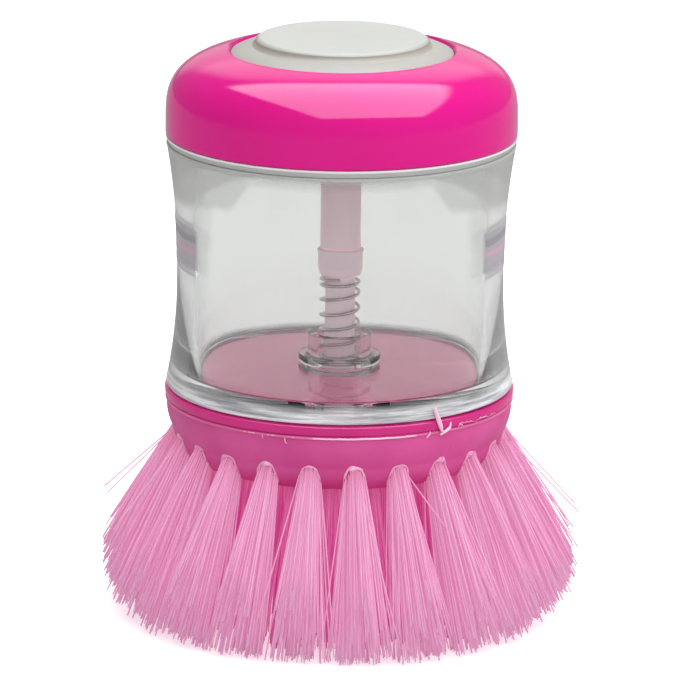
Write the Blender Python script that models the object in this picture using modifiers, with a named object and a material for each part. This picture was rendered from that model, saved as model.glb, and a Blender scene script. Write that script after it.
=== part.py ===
"""Soap dispensing dish brush, held under the palm.

A clear reservoir stands on a round brush base. A screw cap closes it, and a push button in the
cap pushes a stem down through the soap. The stem opens a sprung valve in the reservoir's floor,
and soap runs through the base on to the bristles.

Lengths are in metres and angles in degrees. +Z is up, the brush's axis is the Z axis, the trimmed
bristle tips stand on Z = 0, and the photographed side faces -Y.
"""

import math

import bmesh
import bpy
from mathutils import Matrix, Vector

# Clearances and cutting
SEAT_GAP = 0.0003  # between pieces that rest on each other or fit in each other
THREAD_GAP = 0.0007  # between the neck and the cap's bore, where the thread runs
CUT_OVERRUN = 0.002  # how far a cutter runs past what it cuts
MERGE_DISTANCE = 0.000001

# Brush base: a thick bowl, open only at its soap outlet
BRISTLE_REACH = 0.0236  # from the tips' plane to the base's underside
BASE_RIM_RADIUS = 0.0264  # all the larger radii follow this one
BASE_WALL_INSET = 0.0012  # from the rim in to where the wall turns under
BASE_CORNER_RADIUS = 0.0040
BASE_HEIGHT = 0.0089  # from the underside to the collar's seat
BASE_RIM_HEIGHT = 0.0010  # the straight edge under the collar
BASE_SWELL_SHARES = (0.7, 0.4)  # of the wall's height, where its outline has a point
BASE_SWELL_POWER = 1.5
COLLAR_SEAT_WIDTH = 0.0042  # from the rim in to the raised middle, seen through the floor
CHAMBER_CLEARANCE = 0.0005  # left under the valve's tail when the button is down
OUTLET_RADIUS = 0.0032

# Base collar: the glossy band between the base and the reservoir
COLLAR_HEIGHT = 0.0017
COLLAR_OVERHANG = 0.0003  # of its top edge past the base's rim
COLLAR_EDGE_RADIUS = 0.0003

# Reservoir
RIM_INSET = 0.0001  # its foot and shoulder lie this far inside the collar's top edge
WAIST_DEPTH = 0.0017
WAIST_HEIGHT_SHARE = 0.456
FLARE_POWER = 2.2
BODY_HEIGHT = 0.0377  # from its underside to its shoulder
FLOOR_THICKNESS = 0.0022
FOOT_WALL = 0.0043  # from the rim in to the soap space at the floor
INNER_FILLET_RADIUS = 0.0012
SHOULDER_WIDTH = 0.0024
NECK_WALL = 0.0015
NECK_HEIGHT = 0.0070
NECK_EDGE_RADIUS = 0.0004

# Finger grips: raised bands on the reservoir's left and right
GRIP_BAND_COUNT = 4
GRIP_BAND_PITCH = 0.0019
GRIP_BAND_RADIUS = 0.00065
GRIP_BAND_PROUD = 0.00035
GRIP_MIDDLE_HEIGHT = 0.0227  # above the reservoir's underside
GRIP_HALF_ANGLE = 31.0
GRIP_BAND_POINTS = 9

# Cap
CAP_GASKET_THICKNESS = 0.0006
CAP_OVERHANG = 0.00015  # past the reservoir's shoulder
CAP_SKIRT_HEIGHT = 0.0023  # straight stretch above the rim
DOME_RISE = 0.01153
DOME_POWER = 3.2
DOME_WALL = 0.0018
DOME_WIDTH = 0.01005  # from the skirt in to the membrane's edge
RECESS_DEPTH = 0.0010  # below the dome's edge, carries the membrane
LEDGE_THICKNESS = 0.0013
RIM_EDGE_RADIUS = 0.0004
GASKET_OUTER_INSET = 0.0003  # how far the gasket lies inside the shoulder's edge
NECK_TOP_CLEARANCE = 0.0003  # the cap's bore runs straight this far past the neck

# Push button and its membrane
MEMBRANE_WIDTH = 0.0032
MEMBRANE_EDGE_THICKNESS = 0.0009
MEMBRANE_INNER_THICKNESS = 0.0014
MEMBRANE_FILLET_WIDTH = 0.0010
MEMBRANE_FILLET_SHARES = (0.0, 0.35, 0.7, 1.0)  # of the fillet's width, where its outline has a point
PAD_SIDE_GAP = 0.00035
PAD_PROUD = 0.0014  # above the membrane's inner edge
PAD_EDGE_RADIUS = 0.0009
PAD_THICKNESS = 0.0015
PAD_WALL = 0.0012
PAD_LIP_WIDTH = 0.00065
PAD_LIP_HEIGHT = 0.0012
BUTTON_TRAVEL = 0.0030
SOCKET_WALL = 0.0013
SOCKET_DEPTH = 0.0040

# Return spring, round the valve's rod
WIRE_RADIUS = 0.000275
SPRING_ROD_GAP = 0.0003
SPRING_HEIGHT = 0.0147
SPRING_TURNS = 6.75
CLOSE_TURNS_BELOW = 0.75
CLOSE_TURNS_ABOVE = 1.25
CLOSE_PITCH = 0.0010
POINTS_PER_TURN = 10
LEAST_WIRE_GAP = 0.0004

# Stem from the button to the valve
ROD_RADIUS = 0.0023
STEM_RADIUS = 0.00305
STEM_BORE_RADIUS = 0.0012
SPIGOT_RADIUS = 0.0022
SPIGOT_LENGTH = 0.0032
STEM_COLLAR_FLARE = 0.0004  # of its chamfer, from the spring's outer edge
STEM_COLLAR_HEIGHT = 0.0045
STEM_COLLAR_CHAMFER = 0.0012

# Valve seat: flanged bush on the reservoir's floor
SEAT_SPRING_GAP = 0.00035
SEAT_TUBE_WALL = 0.0014
SEAT_TUBE_HEIGHT = 0.0050  # above its flange's underside
SEAT_FLANGE_WIDTH = 0.00145
SEAT_FLANGE_THICKNESS = 0.0013
SEAT_LIP_LENGTH = 0.0010  # how far the bush stands out under the reservoir
ROD_GAP = 0.00045  # soap passes here when the valve is open

# Valve seal and the stem's tail that holds it
SEAL_SIDE_GAP = 0.0008  # soap passes here when the valve is open
SEAL_THICKNESS = 0.0016
TAIL_RADIUS = 0.0014
TAIL_HEAD_WIDTH = 0.0008
TAIL_HEAD_THICKNESS = 0.0012

# Outlet gasket
OUTLET_GASKET_WIDTH = 0.0008
OUTLET_GASKET_THICKNESS = 0.0010

# Bristles
FIRST_TUFT_ANGLE = 5.8  # from the front, towards +X
TUFT_PITCH = 0.0067  # along the outer ring
TUFT_RADIUS = 0.0015
OUTER_RING_INSET = 0.00065
OUTER_LEAN = 20.2
OUTER_PLUG_LENGTH = 0.0035
OUTER_PLUG_DEPTH = 0.0015  # below the base's surface, along the tuft
OUTER_LENGTH = 0.0279
MIDDLE_RING_INSET = 0.00455  # from the outer ring
MIDDLE_LEAN = 13.0
INNER_RING_INSET = 0.0037  # from the middle ring
INNER_LEAN = 7.0
SLICE_THICKNESS = 0.0023
SLICE_DEPTH = 0.0003  # below the base's underside
STRAND_RADIUS = 0.00028
STRAND_SIDES = 3
STRAND_ROOT_LENGTH = 0.0004  # inside the plug that it is fused to
STRAND_INSET = 0.0005  # from the plug's rim to the middle of the outermost strands
TIP_GAP = 0.0003  # beside the nearest strand of the next tuft, each way
TRIM_DEPTH = 0.0005  # cut from the tips, so that they stand flat
OUTER_STRAND_COUNT = 9
MIDDLE_STRAND_COUNT = 5
INNER_STRAND_COUNT = 5
CORE_STRAND_SHARE = 0.32  # of the foot radius, where a pair stands inside the ring of strands
OUTER_SPREAD_ANGLE = 6.0  # away from the axis and towards it, at the tuft's rim
MIDDLE_SPREAD_ANGLE = 5.0
INNER_SPREAD_ANGLE = 3.6

# Roundness, in steps to a full turn or to an arc
LARGE_STEPS = 36
MEDIUM_STEPS = 28
SMALL_STEPS = 18
HOLE_STEPS = 8
PLUG_STEPS = 8
WALL_RINGS = 9  # along the reservoir's outline
EDGE_STEPS = 2
ROUND_EDGE_STEPS = 4
CORNER_STEPS = 5
DOME_STEPS = 9
INNER_DOME_STEPS = 5
SMOOTH_ANGLE = 35.0

# Radii that follow from the sizes above
BASE_WALL_RADIUS = BASE_RIM_RADIUS - BASE_WALL_INSET
PLATEAU_RADIUS = BASE_RIM_RADIUS - COLLAR_SEAT_WIDTH
COLLAR_TOP_RADIUS = BASE_RIM_RADIUS + COLLAR_OVERHANG
RESERVOIR_RIM_RADIUS = COLLAR_TOP_RADIUS - RIM_INSET
WAIST_RADIUS = RESERVOIR_RIM_RADIUS - WAIST_DEPTH
INNER_FOOT_RADIUS = RESERVOIR_RIM_RADIUS - FOOT_WALL
NECK_RADIUS = RESERVOIR_RIM_RADIUS - SHOULDER_WIDTH
NECK_BORE_RADIUS = NECK_RADIUS - NECK_WALL
CAP_RADIUS = RESERVOIR_RIM_RADIUS + CAP_OVERHANG
CAP_BORE_RADIUS = NECK_RADIUS + THREAD_GAP
MEMBRANE_RADIUS = CAP_RADIUS - DOME_WIDTH
RECESS_RADIUS = MEMBRANE_RADIUS + SEAT_GAP
MEMBRANE_BORE_RADIUS = MEMBRANE_RADIUS - MEMBRANE_WIDTH
PAD_RADIUS = MEMBRANE_BORE_RADIUS - PAD_SIDE_GAP
PAD_LIP_RADIUS = PAD_RADIUS + PAD_LIP_WIDTH
CAP_MOUTH_RADIUS = PAD_LIP_RADIUS + SEAT_GAP
SPRING_RADIUS = ROD_RADIUS + SPRING_ROD_GAP + WIRE_RADIUS
SPRING_OUTER_RADIUS = SPRING_RADIUS + WIRE_RADIUS
STEM_COLLAR_RADIUS = SPRING_OUTER_RADIUS + STEM_COLLAR_FLARE
SEAT_BORE_RADIUS = SPRING_OUTER_RADIUS + SEAT_SPRING_GAP
SEAT_TUBE_RADIUS = SEAT_BORE_RADIUS + SEAT_TUBE_WALL
SEAT_FLANGE_RADIUS = SEAT_TUBE_RADIUS + SEAT_FLANGE_WIDTH
FLOOR_HOLE_RADIUS = SEAT_TUBE_RADIUS + SEAT_GAP
ROD_HOLE_RADIUS = ROD_RADIUS + ROD_GAP
SEAL_RADIUS = FLOOR_HOLE_RADIUS - SEAL_SIDE_GAP
TAIL_HEAD_RADIUS = TAIL_RADIUS + TAIL_HEAD_WIDTH
SOCKET_BORE_RADIUS = STEM_RADIUS + SEAT_GAP
SPIGOT_BORE_RADIUS = SPIGOT_RADIUS + SEAT_GAP
TUFT_HOLE_RADIUS = TUFT_RADIUS + SEAT_GAP
FOOT_RADIUS = TUFT_RADIUS - STRAND_INSET
OUTER_RING_RADIUS = BASE_WALL_RADIUS - OUTER_RING_INSET
MIDDLE_RING_RADIUS = OUTER_RING_RADIUS - MIDDLE_RING_INSET
INNER_RING_RADIUS = MIDDLE_RING_RADIUS - INNER_RING_INSET

# Tufts in each ring
TUFT_COUNT = round(2.0 * math.pi * OUTER_RING_RADIUS / TUFT_PITCH)

# Heights that follow from the sizes above
DOME_EDGE_SHARE = (1.0 - (RECESS_RADIUS / CAP_RADIUS) ** DOME_POWER) ** (1.0 / DOME_POWER)
LEDGE_HEIGHT = CAP_SKIRT_HEIGHT + DOME_RISE * DOME_EDGE_SHARE - RECESS_DEPTH  # above the cap's rim
COLLAR_SEAT_Z = BRISTLE_REACH + BASE_HEIGHT
COLLAR_Z = COLLAR_SEAT_Z + SEAT_GAP
PLATEAU_Z = COLLAR_Z + COLLAR_HEIGHT
RESERVOIR_Z = PLATEAU_Z + SEAT_GAP
FLOOR_Z = RESERVOIR_Z + FLOOR_THICKNESS
SHOULDER_Z = RESERVOIR_Z + BODY_HEIGHT
CAP_GASKET_Z = SHOULDER_Z + SEAT_GAP
CAP_Z = CAP_GASKET_Z + CAP_GASKET_THICKNESS + SEAT_GAP
MEMBRANE_Z = CAP_Z + LEDGE_HEIGHT + SEAT_GAP
PAD_TOP_Z = MEMBRANE_Z + MEMBRANE_INNER_THICKNESS + PAD_PROUD
SEAT_Z = FLOOR_Z + SEAT_GAP
SEAT_LIP_Z = RESERVOIR_Z - SEAT_LIP_LENGTH
SPRING_FOOT_Z = FLOOR_Z
SEAL_Z = SEAT_LIP_Z - SEAT_GAP - SEAL_THICKNESS
TAIL_Z = SEAL_Z - SEAT_GAP - TAIL_HEAD_THICKNESS
CHAMBER_Z = TAIL_Z - BUTTON_TRAVEL - CHAMBER_CLEARANCE

# The valve stem hangs from the spring, which stands in the valve seat
STEM_COLLAR_Z = SPRING_FOOT_Z + SPRING_HEIGHT + 2.0 * SEAT_GAP
BUTTON_STEM_Z = STEM_COLLAR_Z + STEM_COLLAR_HEIGHT + SEAT_GAP


def clear_scene():
    for old in list(bpy.data.objects):
        bpy.data.objects.remove(old, do_unlink=True)


def make_collection(name):
    collection = bpy.data.collections.new(name)
    bpy.context.scene.collection.children.link(collection)
    return collection


def material(name, colour, roughness, metallic=0.0, alpha=1.0, transmission=0.0):
    look = bpy.data.materials.new(name)
    look.use_nodes = True
    shader = look.node_tree.nodes["Principled BSDF"]
    shader.inputs["Base Color"].default_value = (*colour, 1.0)
    shader.inputs["Roughness"].default_value = roughness
    shader.inputs["Metallic"].default_value = metallic
    shader.inputs["Alpha"].default_value = alpha
    shader.inputs["Transmission Weight"].default_value = transmission
    look.diffuse_color = (*colour, alpha)
    return look


def add_object(name, data, collection, look=None):
    """Link a mesh or a curve as a named object."""
    piece = bpy.data.objects.new(name, data)
    collection.objects.link(piece)
    if look is not None:
        data.materials.append(look)
    return piece


def evaluated_mesh(piece):
    """A new mesh of the piece as its modifiers or its bevel leave it."""
    bpy.context.view_layer.update()
    depsgraph = bpy.context.evaluated_depsgraph_get()
    mesh = bpy.data.meshes.new_from_object(piece.evaluated_get(depsgraph), depsgraph=depsgraph)
    shape = bmesh.new()
    shape.from_mesh(mesh)
    bmesh.ops.remove_doubles(shape, verts=shape.verts, dist=MERGE_DISTANCE)
    shape.to_mesh(mesh)
    shape.free()
    return mesh


def settle(piece):
    """Keep what the modifiers make as the piece's own mesh, shaded smooth up to its edges."""
    mesh = evaluated_mesh(piece)
    piece.modifiers.clear()
    piece.data = mesh
    mesh.shade_smooth()
    mesh.set_sharp_from_angle(angle=math.radians(SMOOTH_ANGLE))


def arc(radius_at, height_at, radius, start, end, count):
    """Points of an arc in a turned outline, by angles in degrees from straight out."""
    points = []
    for index in range(count + 1):
        angle = math.radians(start + (end - start) * index / count)
        points.append((radius_at + radius * math.cos(angle), height_at + radius * math.sin(angle)))
    return points


def turned_object(name, outline, collection, look, steps, ring=True):
    """Turn an outline about the Z axis. It runs down the outer side and back up the inner one."""
    corners = [(radius, 0.0, height) for radius, height in outline]
    edges = [(index, index + 1) for index in range(len(corners) - 1)]
    if ring:
        edges.append((len(corners) - 1, 0))
    mesh = bpy.data.meshes.new(name)
    mesh.from_pydata(corners, edges, [])
    piece = add_object(name, mesh, collection, look)
    screw = piece.modifiers.new("turn", "SCREW")
    screw.steps = steps
    screw.render_steps = steps
    screw.use_merge_vertices = True
    screw.merge_threshold = MERGE_DISTANCE
    return piece


def turned(name, outline, collection, look, steps, height=0.0, ring=True):
    piece = turned_object(name, outline, collection, look, steps, ring)
    piece.location.z = height
    settle(piece)
    return piece


def mark_cutter(cutter):
    cutter.hide_render = True
    cutter.display_type = "WIRE"


def combine(piece, other, operation):
    """Join another shape to the piece, or cut it out, and keep the result."""
    mark_cutter(other)
    modifier = piece.modifiers.new(operation.lower(), "BOOLEAN")
    modifier.operation = operation
    modifier.object = other
    settle(piece)


def around(index):
    """The angle about Z of one tuft's place, where 0 is the front."""
    return math.radians(FIRST_TUFT_ANGLE + 360.0 * index / TUFT_COUNT)


def between(index):
    """The angle about Z halfway between two places in the outer ring."""
    return math.radians(FIRST_TUFT_ANGLE + 360.0 * (index + 0.5) / TUFT_COUNT)


# Brush base and its collar


def base_surface_height(radius):
    """Height of the base's rounded underside above its flat middle."""
    across = radius - (BASE_WALL_RADIUS - BASE_CORNER_RADIUS)
    if across <= 0.0:
        return 0.0
    return BASE_CORNER_RADIUS - math.sqrt(BASE_CORNER_RADIUS**2 - across**2)


def outer_root():
    """Where an outer tuft's plug ends, in the plane through the axis: radius and height."""
    lean = math.radians(OUTER_LEAN)
    height = BRISTLE_REACH + base_surface_height(OUTER_RING_RADIUS)
    radius = OUTER_RING_RADIUS - OUTER_PLUG_DEPTH * math.sin(lean)
    return radius, height + OUTER_PLUG_DEPTH * math.cos(lean)


def outer_frame():
    """Places the outer tuft's own axes: Z along the tuft to its tips, X away from the brush's axis."""
    radius, height = outer_root()
    turn = Matrix.Rotation(math.radians(180.0 - OUTER_LEAN), 4, "Y")
    return Matrix.Translation((radius, 0.0, height)) @ turn


def slice_frame():
    """Places the axes of a slice that carries a middle and an inner tuft, Z down."""
    middle = 0.5 * (MIDDLE_RING_RADIUS + INNER_RING_RADIUS)
    flip = Matrix.Rotation(math.radians(180.0), 4, "Y")
    return Matrix.Translation((middle, 0.0, BRISTLE_REACH + SLICE_DEPTH)) @ flip


def add_stadium(shape, half_length, radius, low, high, steps, place):
    """A bar with round ends, its length along X, between two heights of the frame it is placed in."""
    ring = []
    for side in (1.0, -1.0):
        for index in range(steps // 2 + 1):
            angle = math.radians(-90.0 + 360.0 * index / steps)
            across = side * (half_length + radius * math.cos(angle))
            ring.append(shape.verts.new((across, side * radius * math.sin(angle), low)))
    face = shape.faces.new(ring)
    face.normal_flip()
    grown = bmesh.ops.extrude_face_region(shape, geom=[face])["geom"]
    top = [part for part in grown if isinstance(part, bmesh.types.BMVert)]
    bmesh.ops.translate(shape, vec=(0.0, 0.0, high - low), verts=top)
    face.normal_flip()
    bmesh.ops.transform(shape, matrix=place, verts=ring + top)


def add_bar(shape, radius, low, high, steps, place):
    """A round or prism bar along Z between two heights of the frame it is placed in."""
    middle = Matrix.Translation((0.0, 0.0, 0.5 * (low + high)))
    bmesh.ops.create_cone(
        shape, cap_ends=True, segments=steps, radius1=radius, radius2=radius,
        depth=high - low, matrix=place @ middle,
    )


def object_from_shape(name, shape, collection, look=None):
    bmesh.ops.recalc_face_normals(shape, faces=shape.faces)
    mesh = bpy.data.meshes.new(name)
    shape.to_mesh(mesh)
    shape.free()
    return add_object(name, mesh, collection, look)


def hole_cutter(collection):
    """All outer tuft holes as one cutter."""
    shape = bmesh.new()
    high = OUTER_PLUG_DEPTH + BASE_CORNER_RADIUS + CUT_OVERRUN
    for index in range(TUFT_COUNT):
        place = Matrix.Rotation(around(index) - math.radians(90.0), 4, "Z") @ outer_frame()
        add_bar(shape, TUFT_HOLE_RADIUS, -OUTER_PLUG_LENGTH - SEAT_GAP, high, HOLE_STEPS, place)
    return object_from_shape("tuft_holes", shape, collection)


def slot_cutter(collection):
    """All pockets for the slices as one cutter."""
    shape = bmesh.new()
    half_length = 0.5 * (MIDDLE_RING_RADIUS - INNER_RING_RADIUS)
    high = SLICE_DEPTH + CUT_OVERRUN
    for index in range(TUFT_COUNT):
        place = Matrix.Rotation(between(index) - math.radians(90.0), 4, "Z") @ slice_frame()
        low = -SLICE_THICKNESS - SEAT_GAP
        add_stadium(shape, half_length, TUFT_HOLE_RADIUS, low, high, HOLE_STEPS, place)
    return object_from_shape("slice_pockets", shape, collection)


def brush_base(collection, cutters, look):
    corner_at = BASE_WALL_RADIUS - BASE_CORNER_RADIUS
    plateau = PLATEAU_Z - BRISTLE_REACH
    chamber_floor = CHAMBER_Z - BRISTLE_REACH
    groove_radius = FLOOR_HOLE_RADIUS + SEAT_GAP + OUTLET_GASKET_WIDTH
    groove_floor = plateau - OUTLET_GASKET_THICKNESS - SEAT_GAP
    outline = [(PLATEAU_RADIUS, plateau), (PLATEAU_RADIUS, BASE_HEIGHT), (BASE_RIM_RADIUS, BASE_HEIGHT)]
    outline += [(BASE_RIM_RADIUS, BASE_HEIGHT - BASE_RIM_HEIGHT)]
    swell = BASE_HEIGHT - BASE_RIM_HEIGHT - BASE_CORNER_RADIUS
    for share in BASE_SWELL_SHARES:
        radius = BASE_WALL_RADIUS + BASE_WALL_INSET * share**BASE_SWELL_POWER
        outline.append((radius, BASE_CORNER_RADIUS + swell * share))
    outline += arc(corner_at, BASE_CORNER_RADIUS, BASE_CORNER_RADIUS, 0.0, -90.0, CORNER_STEPS)
    outline += [(OUTLET_RADIUS, 0.0), (OUTLET_RADIUS, chamber_floor)]
    outline += [(FLOOR_HOLE_RADIUS, chamber_floor), (FLOOR_HOLE_RADIUS, groove_floor)]
    outline += [(groove_radius, groove_floor), (groove_radius, plateau)]
    piece = turned("brush_base", outline, collection, look, LARGE_STEPS, BRISTLE_REACH)
    combine(piece, hole_cutter(cutters), "DIFFERENCE")
    combine(piece, slot_cutter(cutters), "DIFFERENCE")
    return piece


def base_collar(collection, look):
    bore = PLATEAU_RADIUS + SEAT_GAP
    edge = COLLAR_EDGE_RADIUS
    top_at = COLLAR_TOP_RADIUS - edge
    outline = arc(top_at, COLLAR_HEIGHT - edge, edge, 90.0, 0.0, EDGE_STEPS)
    outline += arc(BASE_RIM_RADIUS - edge, edge, edge, 0.0, -90.0, EDGE_STEPS)
    outline += [(bore, 0.0), (bore, COLLAR_HEIGHT)]
    return turned("base_collar", outline, collection, look, LARGE_STEPS, COLLAR_Z)


def outlet_gasket(collection, look):
    inner = FLOOR_HOLE_RADIUS
    outer = inner + OUTLET_GASKET_WIDTH
    height = OUTLET_GASKET_THICKNESS
    outline = [(outer, height), (outer, 0.0), (inner, 0.0), (inner, height)]
    return turned("outlet_gasket", outline, collection, look, SMALL_STEPS, PLATEAU_Z - height)


# Reservoir


def reservoir_radius(height):
    """Outer radius of the waisted wall at a height above the underside."""
    waist = WAIST_HEIGHT_SHARE * BODY_HEIGHT
    reach = BODY_HEIGHT - waist if height > waist else waist
    flare = (abs(height - waist) / reach) ** FLARE_POWER
    return WAIST_RADIUS + (RESERVOIR_RIM_RADIUS - WAIST_RADIUS) * flare


def grip_band(name, side, height, collection):
    """One raised band of a finger grip, a bar that lies mostly inside the wall."""
    radius = reservoir_radius(height) + GRIP_BAND_PROUD - GRIP_BAND_RADIUS
    curve = bpy.data.curves.new(name, "CURVE")
    curve.dimensions = "3D"
    curve.bevel_depth = GRIP_BAND_RADIUS
    curve.bevel_resolution = 1
    curve.use_fill_caps = True
    path = curve.splines.new("POLY")
    path.points.add(GRIP_BAND_POINTS - 1)
    for index, point in enumerate(path.points):
        share = 2.0 * index / (GRIP_BAND_POINTS - 1) - 1.0
        angle = math.radians(GRIP_HALF_ANGLE * share)
        point.co = (side * radius * math.cos(angle), radius * math.sin(angle), height, 1.0)
    wire = add_object(name + "_path", curve, collection)
    bar = add_object(name, evaluated_mesh(wire), collection)
    bpy.data.objects.remove(wire, do_unlink=True)
    bar.location.z = RESERVOIR_Z
    return bar


def reservoir(collection, cutters, look):
    heights = [BODY_HEIGHT * index / WALL_RINGS for index in range(WALL_RINGS, -1, -1)]
    neck_top = BODY_HEIGHT + NECK_HEIGHT
    edge = NECK_EDGE_RADIUS
    fillet = INNER_FILLET_RADIUS
    outline = arc(NECK_RADIUS - edge, neck_top - edge, edge, 90.0, 0.0, EDGE_STEPS)
    outline += [(NECK_RADIUS, BODY_HEIGHT)]
    outline += [(reservoir_radius(height), height) for height in heights]
    outline += [(FLOOR_HOLE_RADIUS, 0.0), (FLOOR_HOLE_RADIUS, FLOOR_THICKNESS)]
    foot_at = INNER_FOOT_RADIUS - fillet
    outline += arc(foot_at, FLOOR_THICKNESS + fillet, fillet, -90.0, 0.0, ROUND_EDGE_STEPS)
    outline += [(NECK_BORE_RADIUS, neck_top - edge), (NECK_BORE_RADIUS + edge, neck_top)]
    piece = turned("reservoir", outline, collection, look, LARGE_STEPS, RESERVOIR_Z)
    for side, label in ((1.0, "right"), (-1.0, "left")):
        for index in range(GRIP_BAND_COUNT):
            rise = GRIP_BAND_PITCH * (index - 0.5 * (GRIP_BAND_COUNT - 1))
            name = f"grip_band_{label}_{index + 1}"
            combine(piece, grip_band(name, side, GRIP_MIDDLE_HEIGHT + rise, cutters), "UNION")
    return piece


# Cap, gasket and membrane


def dome_arc(radius, foot, rise, top_share, count):
    """Rounded-square dome, from a share of its rise down to its foot, where its wall is upright."""
    points = []
    start = math.asin(top_share ** (0.5 * DOME_POWER))
    for index in range(count + 1):
        angle = start * (1.0 - index / count)
        across = math.cos(angle) ** (2.0 / DOME_POWER)
        up = math.sin(angle) ** (2.0 / DOME_POWER)
        points.append((radius * across, foot + rise * up))
    return points


def cap_shell(collection, look):
    edge = RIM_EDGE_RADIUS
    ledge_low = LEDGE_HEIGHT - LEDGE_THICKNESS
    bore_top = SHOULDER_Z + NECK_HEIGHT + NECK_TOP_CLEARANCE - CAP_Z
    inner_rise = CAP_SKIRT_HEIGHT + DOME_RISE - DOME_WALL - bore_top
    inner_share = (ledge_low - bore_top) / inner_rise
    inner = dome_arc(CAP_BORE_RADIUS, bore_top, inner_rise, inner_share, INNER_DOME_STEPS)
    inner.reverse()
    outline = dome_arc(CAP_RADIUS, CAP_SKIRT_HEIGHT, DOME_RISE, DOME_EDGE_SHARE, DOME_STEPS)
    outline += arc(CAP_RADIUS - edge, edge, edge, 0.0, -90.0, EDGE_STEPS)
    outline += [(CAP_BORE_RADIUS, 0.0)]
    outline += inner
    outline += [(CAP_MOUTH_RADIUS, ledge_low), (CAP_MOUTH_RADIUS, LEDGE_HEIGHT)]
    outline += [(RECESS_RADIUS, LEDGE_HEIGHT)]
    return turned("cap_shell", outline, collection, look, LARGE_STEPS, CAP_Z)


def cap_gasket(collection, look):
    outer = RESERVOIR_RIM_RADIUS - GASKET_OUTER_INSET
    inner = NECK_RADIUS + SEAT_GAP
    height = CAP_GASKET_THICKNESS
    outline = [(outer, height), (outer, 0.0), (inner, 0.0), (inner, height)]
    return turned("cap_gasket", outline, collection, look, LARGE_STEPS, CAP_GASKET_Z)


def button_membrane(collection, look):
    edge = 0.5 * MEMBRANE_EDGE_THICKNESS
    bore = MEMBRANE_BORE_RADIUS
    width = MEMBRANE_FILLET_WIDTH
    rise = MEMBRANE_INNER_THICKNESS - MEMBRANE_EDGE_THICKNESS
    outline = []
    for share in MEMBRANE_FILLET_SHARES:
        fall = 1.0 - (1.0 - share) ** 2
        outline.append((bore + width * share, MEMBRANE_INNER_THICKNESS - rise * fall))
    outline += arc(MEMBRANE_RADIUS - edge, edge, edge, 90.0, 0.0, EDGE_STEPS)
    outline += [(MEMBRANE_RADIUS, 0.0), (bore, 0.0)]
    return turned("button_membrane", outline, collection, look, MEDIUM_STEPS, MEMBRANE_Z)


# Button, stem and valve


def push_button(collection, look):
    """A cup with a lip that catches under the membrane and a socket for the stem."""
    edge = PAD_EDGE_RADIUS
    foot = MEMBRANE_Z - SEAT_GAP - PAD_LIP_HEIGHT
    top = PAD_TOP_Z - foot
    ceiling = top - PAD_THICKNESS
    socket_foot = ceiling - SOCKET_DEPTH
    bore = PAD_RADIUS - PAD_WALL
    boss = SOCKET_BORE_RADIUS + SOCKET_WALL
    outline = [(0.0, top)]
    outline += arc(PAD_RADIUS - edge, top - edge, edge, 90.0, 0.0, ROUND_EDGE_STEPS)
    outline += [(PAD_RADIUS, PAD_LIP_HEIGHT), (PAD_LIP_RADIUS, PAD_LIP_HEIGHT), (PAD_LIP_RADIUS, 0.0)]
    outline += [(bore, 0.0), (bore, ceiling), (boss, ceiling), (boss, socket_foot)]
    outline += [(SOCKET_BORE_RADIUS, socket_foot), (SOCKET_BORE_RADIUS, ceiling), (0.0, ceiling)]
    return turned("push_button", outline, collection, look, MEDIUM_STEPS, foot, ring=False)


def button_stem(collection, look):
    """The pale tube, with a spigot that drops into the valve stem's collar."""
    length = PAD_TOP_Z - PAD_THICKNESS - SEAT_GAP - BUTTON_STEM_Z
    outline = [(STEM_RADIUS, length), (STEM_RADIUS, 0.0), (SPIGOT_RADIUS, 0.0)]
    outline += [(SPIGOT_RADIUS, -SPIGOT_LENGTH), (STEM_BORE_RADIUS, -SPIGOT_LENGTH)]
    outline += [(STEM_BORE_RADIUS, length)]
    return turned("button_stem", outline, collection, look, SMALL_STEPS, BUTTON_STEM_Z)


def valve_stem(collection, look):
    """Collar, rod and the barbed tail that holds the seal, turned from its socket down."""
    top = STEM_COLLAR_HEIGHT
    socket_floor = top - SPIGOT_LENGTH
    rod_end = SEAL_Z + SEAL_THICKNESS + SEAT_GAP - STEM_COLLAR_Z
    head_top = SEAL_Z - SEAT_GAP - STEM_COLLAR_Z
    head_foot = TAIL_Z - STEM_COLLAR_Z
    outline = [(0.0, socket_floor), (SPIGOT_BORE_RADIUS, socket_floor), (SPIGOT_BORE_RADIUS, top)]
    outline += [(STEM_COLLAR_RADIUS, top), (STEM_COLLAR_RADIUS, STEM_COLLAR_CHAMFER)]
    outline += [(SPRING_OUTER_RADIUS, 0.0), (ROD_RADIUS, 0.0), (ROD_RADIUS, rod_end)]
    outline += [(TAIL_RADIUS, rod_end), (TAIL_RADIUS, head_top), (TAIL_HEAD_RADIUS, head_top)]
    outline += [(TAIL_RADIUS, head_foot), (0.0, head_foot)]
    return turned("valve_stem", outline, collection, look, SMALL_STEPS, STEM_COLLAR_Z, ring=False)


def valve_seal(collection, look):
    bore = TAIL_RADIUS + SEAT_GAP
    slope = 0.5 * SEAL_THICKNESS
    outline = [(SEAL_RADIUS - slope, SEAL_THICKNESS), (SEAL_RADIUS, SEAL_THICKNESS - slope)]
    outline += [(SEAL_RADIUS, 0.0), (bore, 0.0), (bore, SEAL_THICKNESS)]
    return turned("valve_seal", outline, collection, look, SMALL_STEPS, SEAL_Z)


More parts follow.
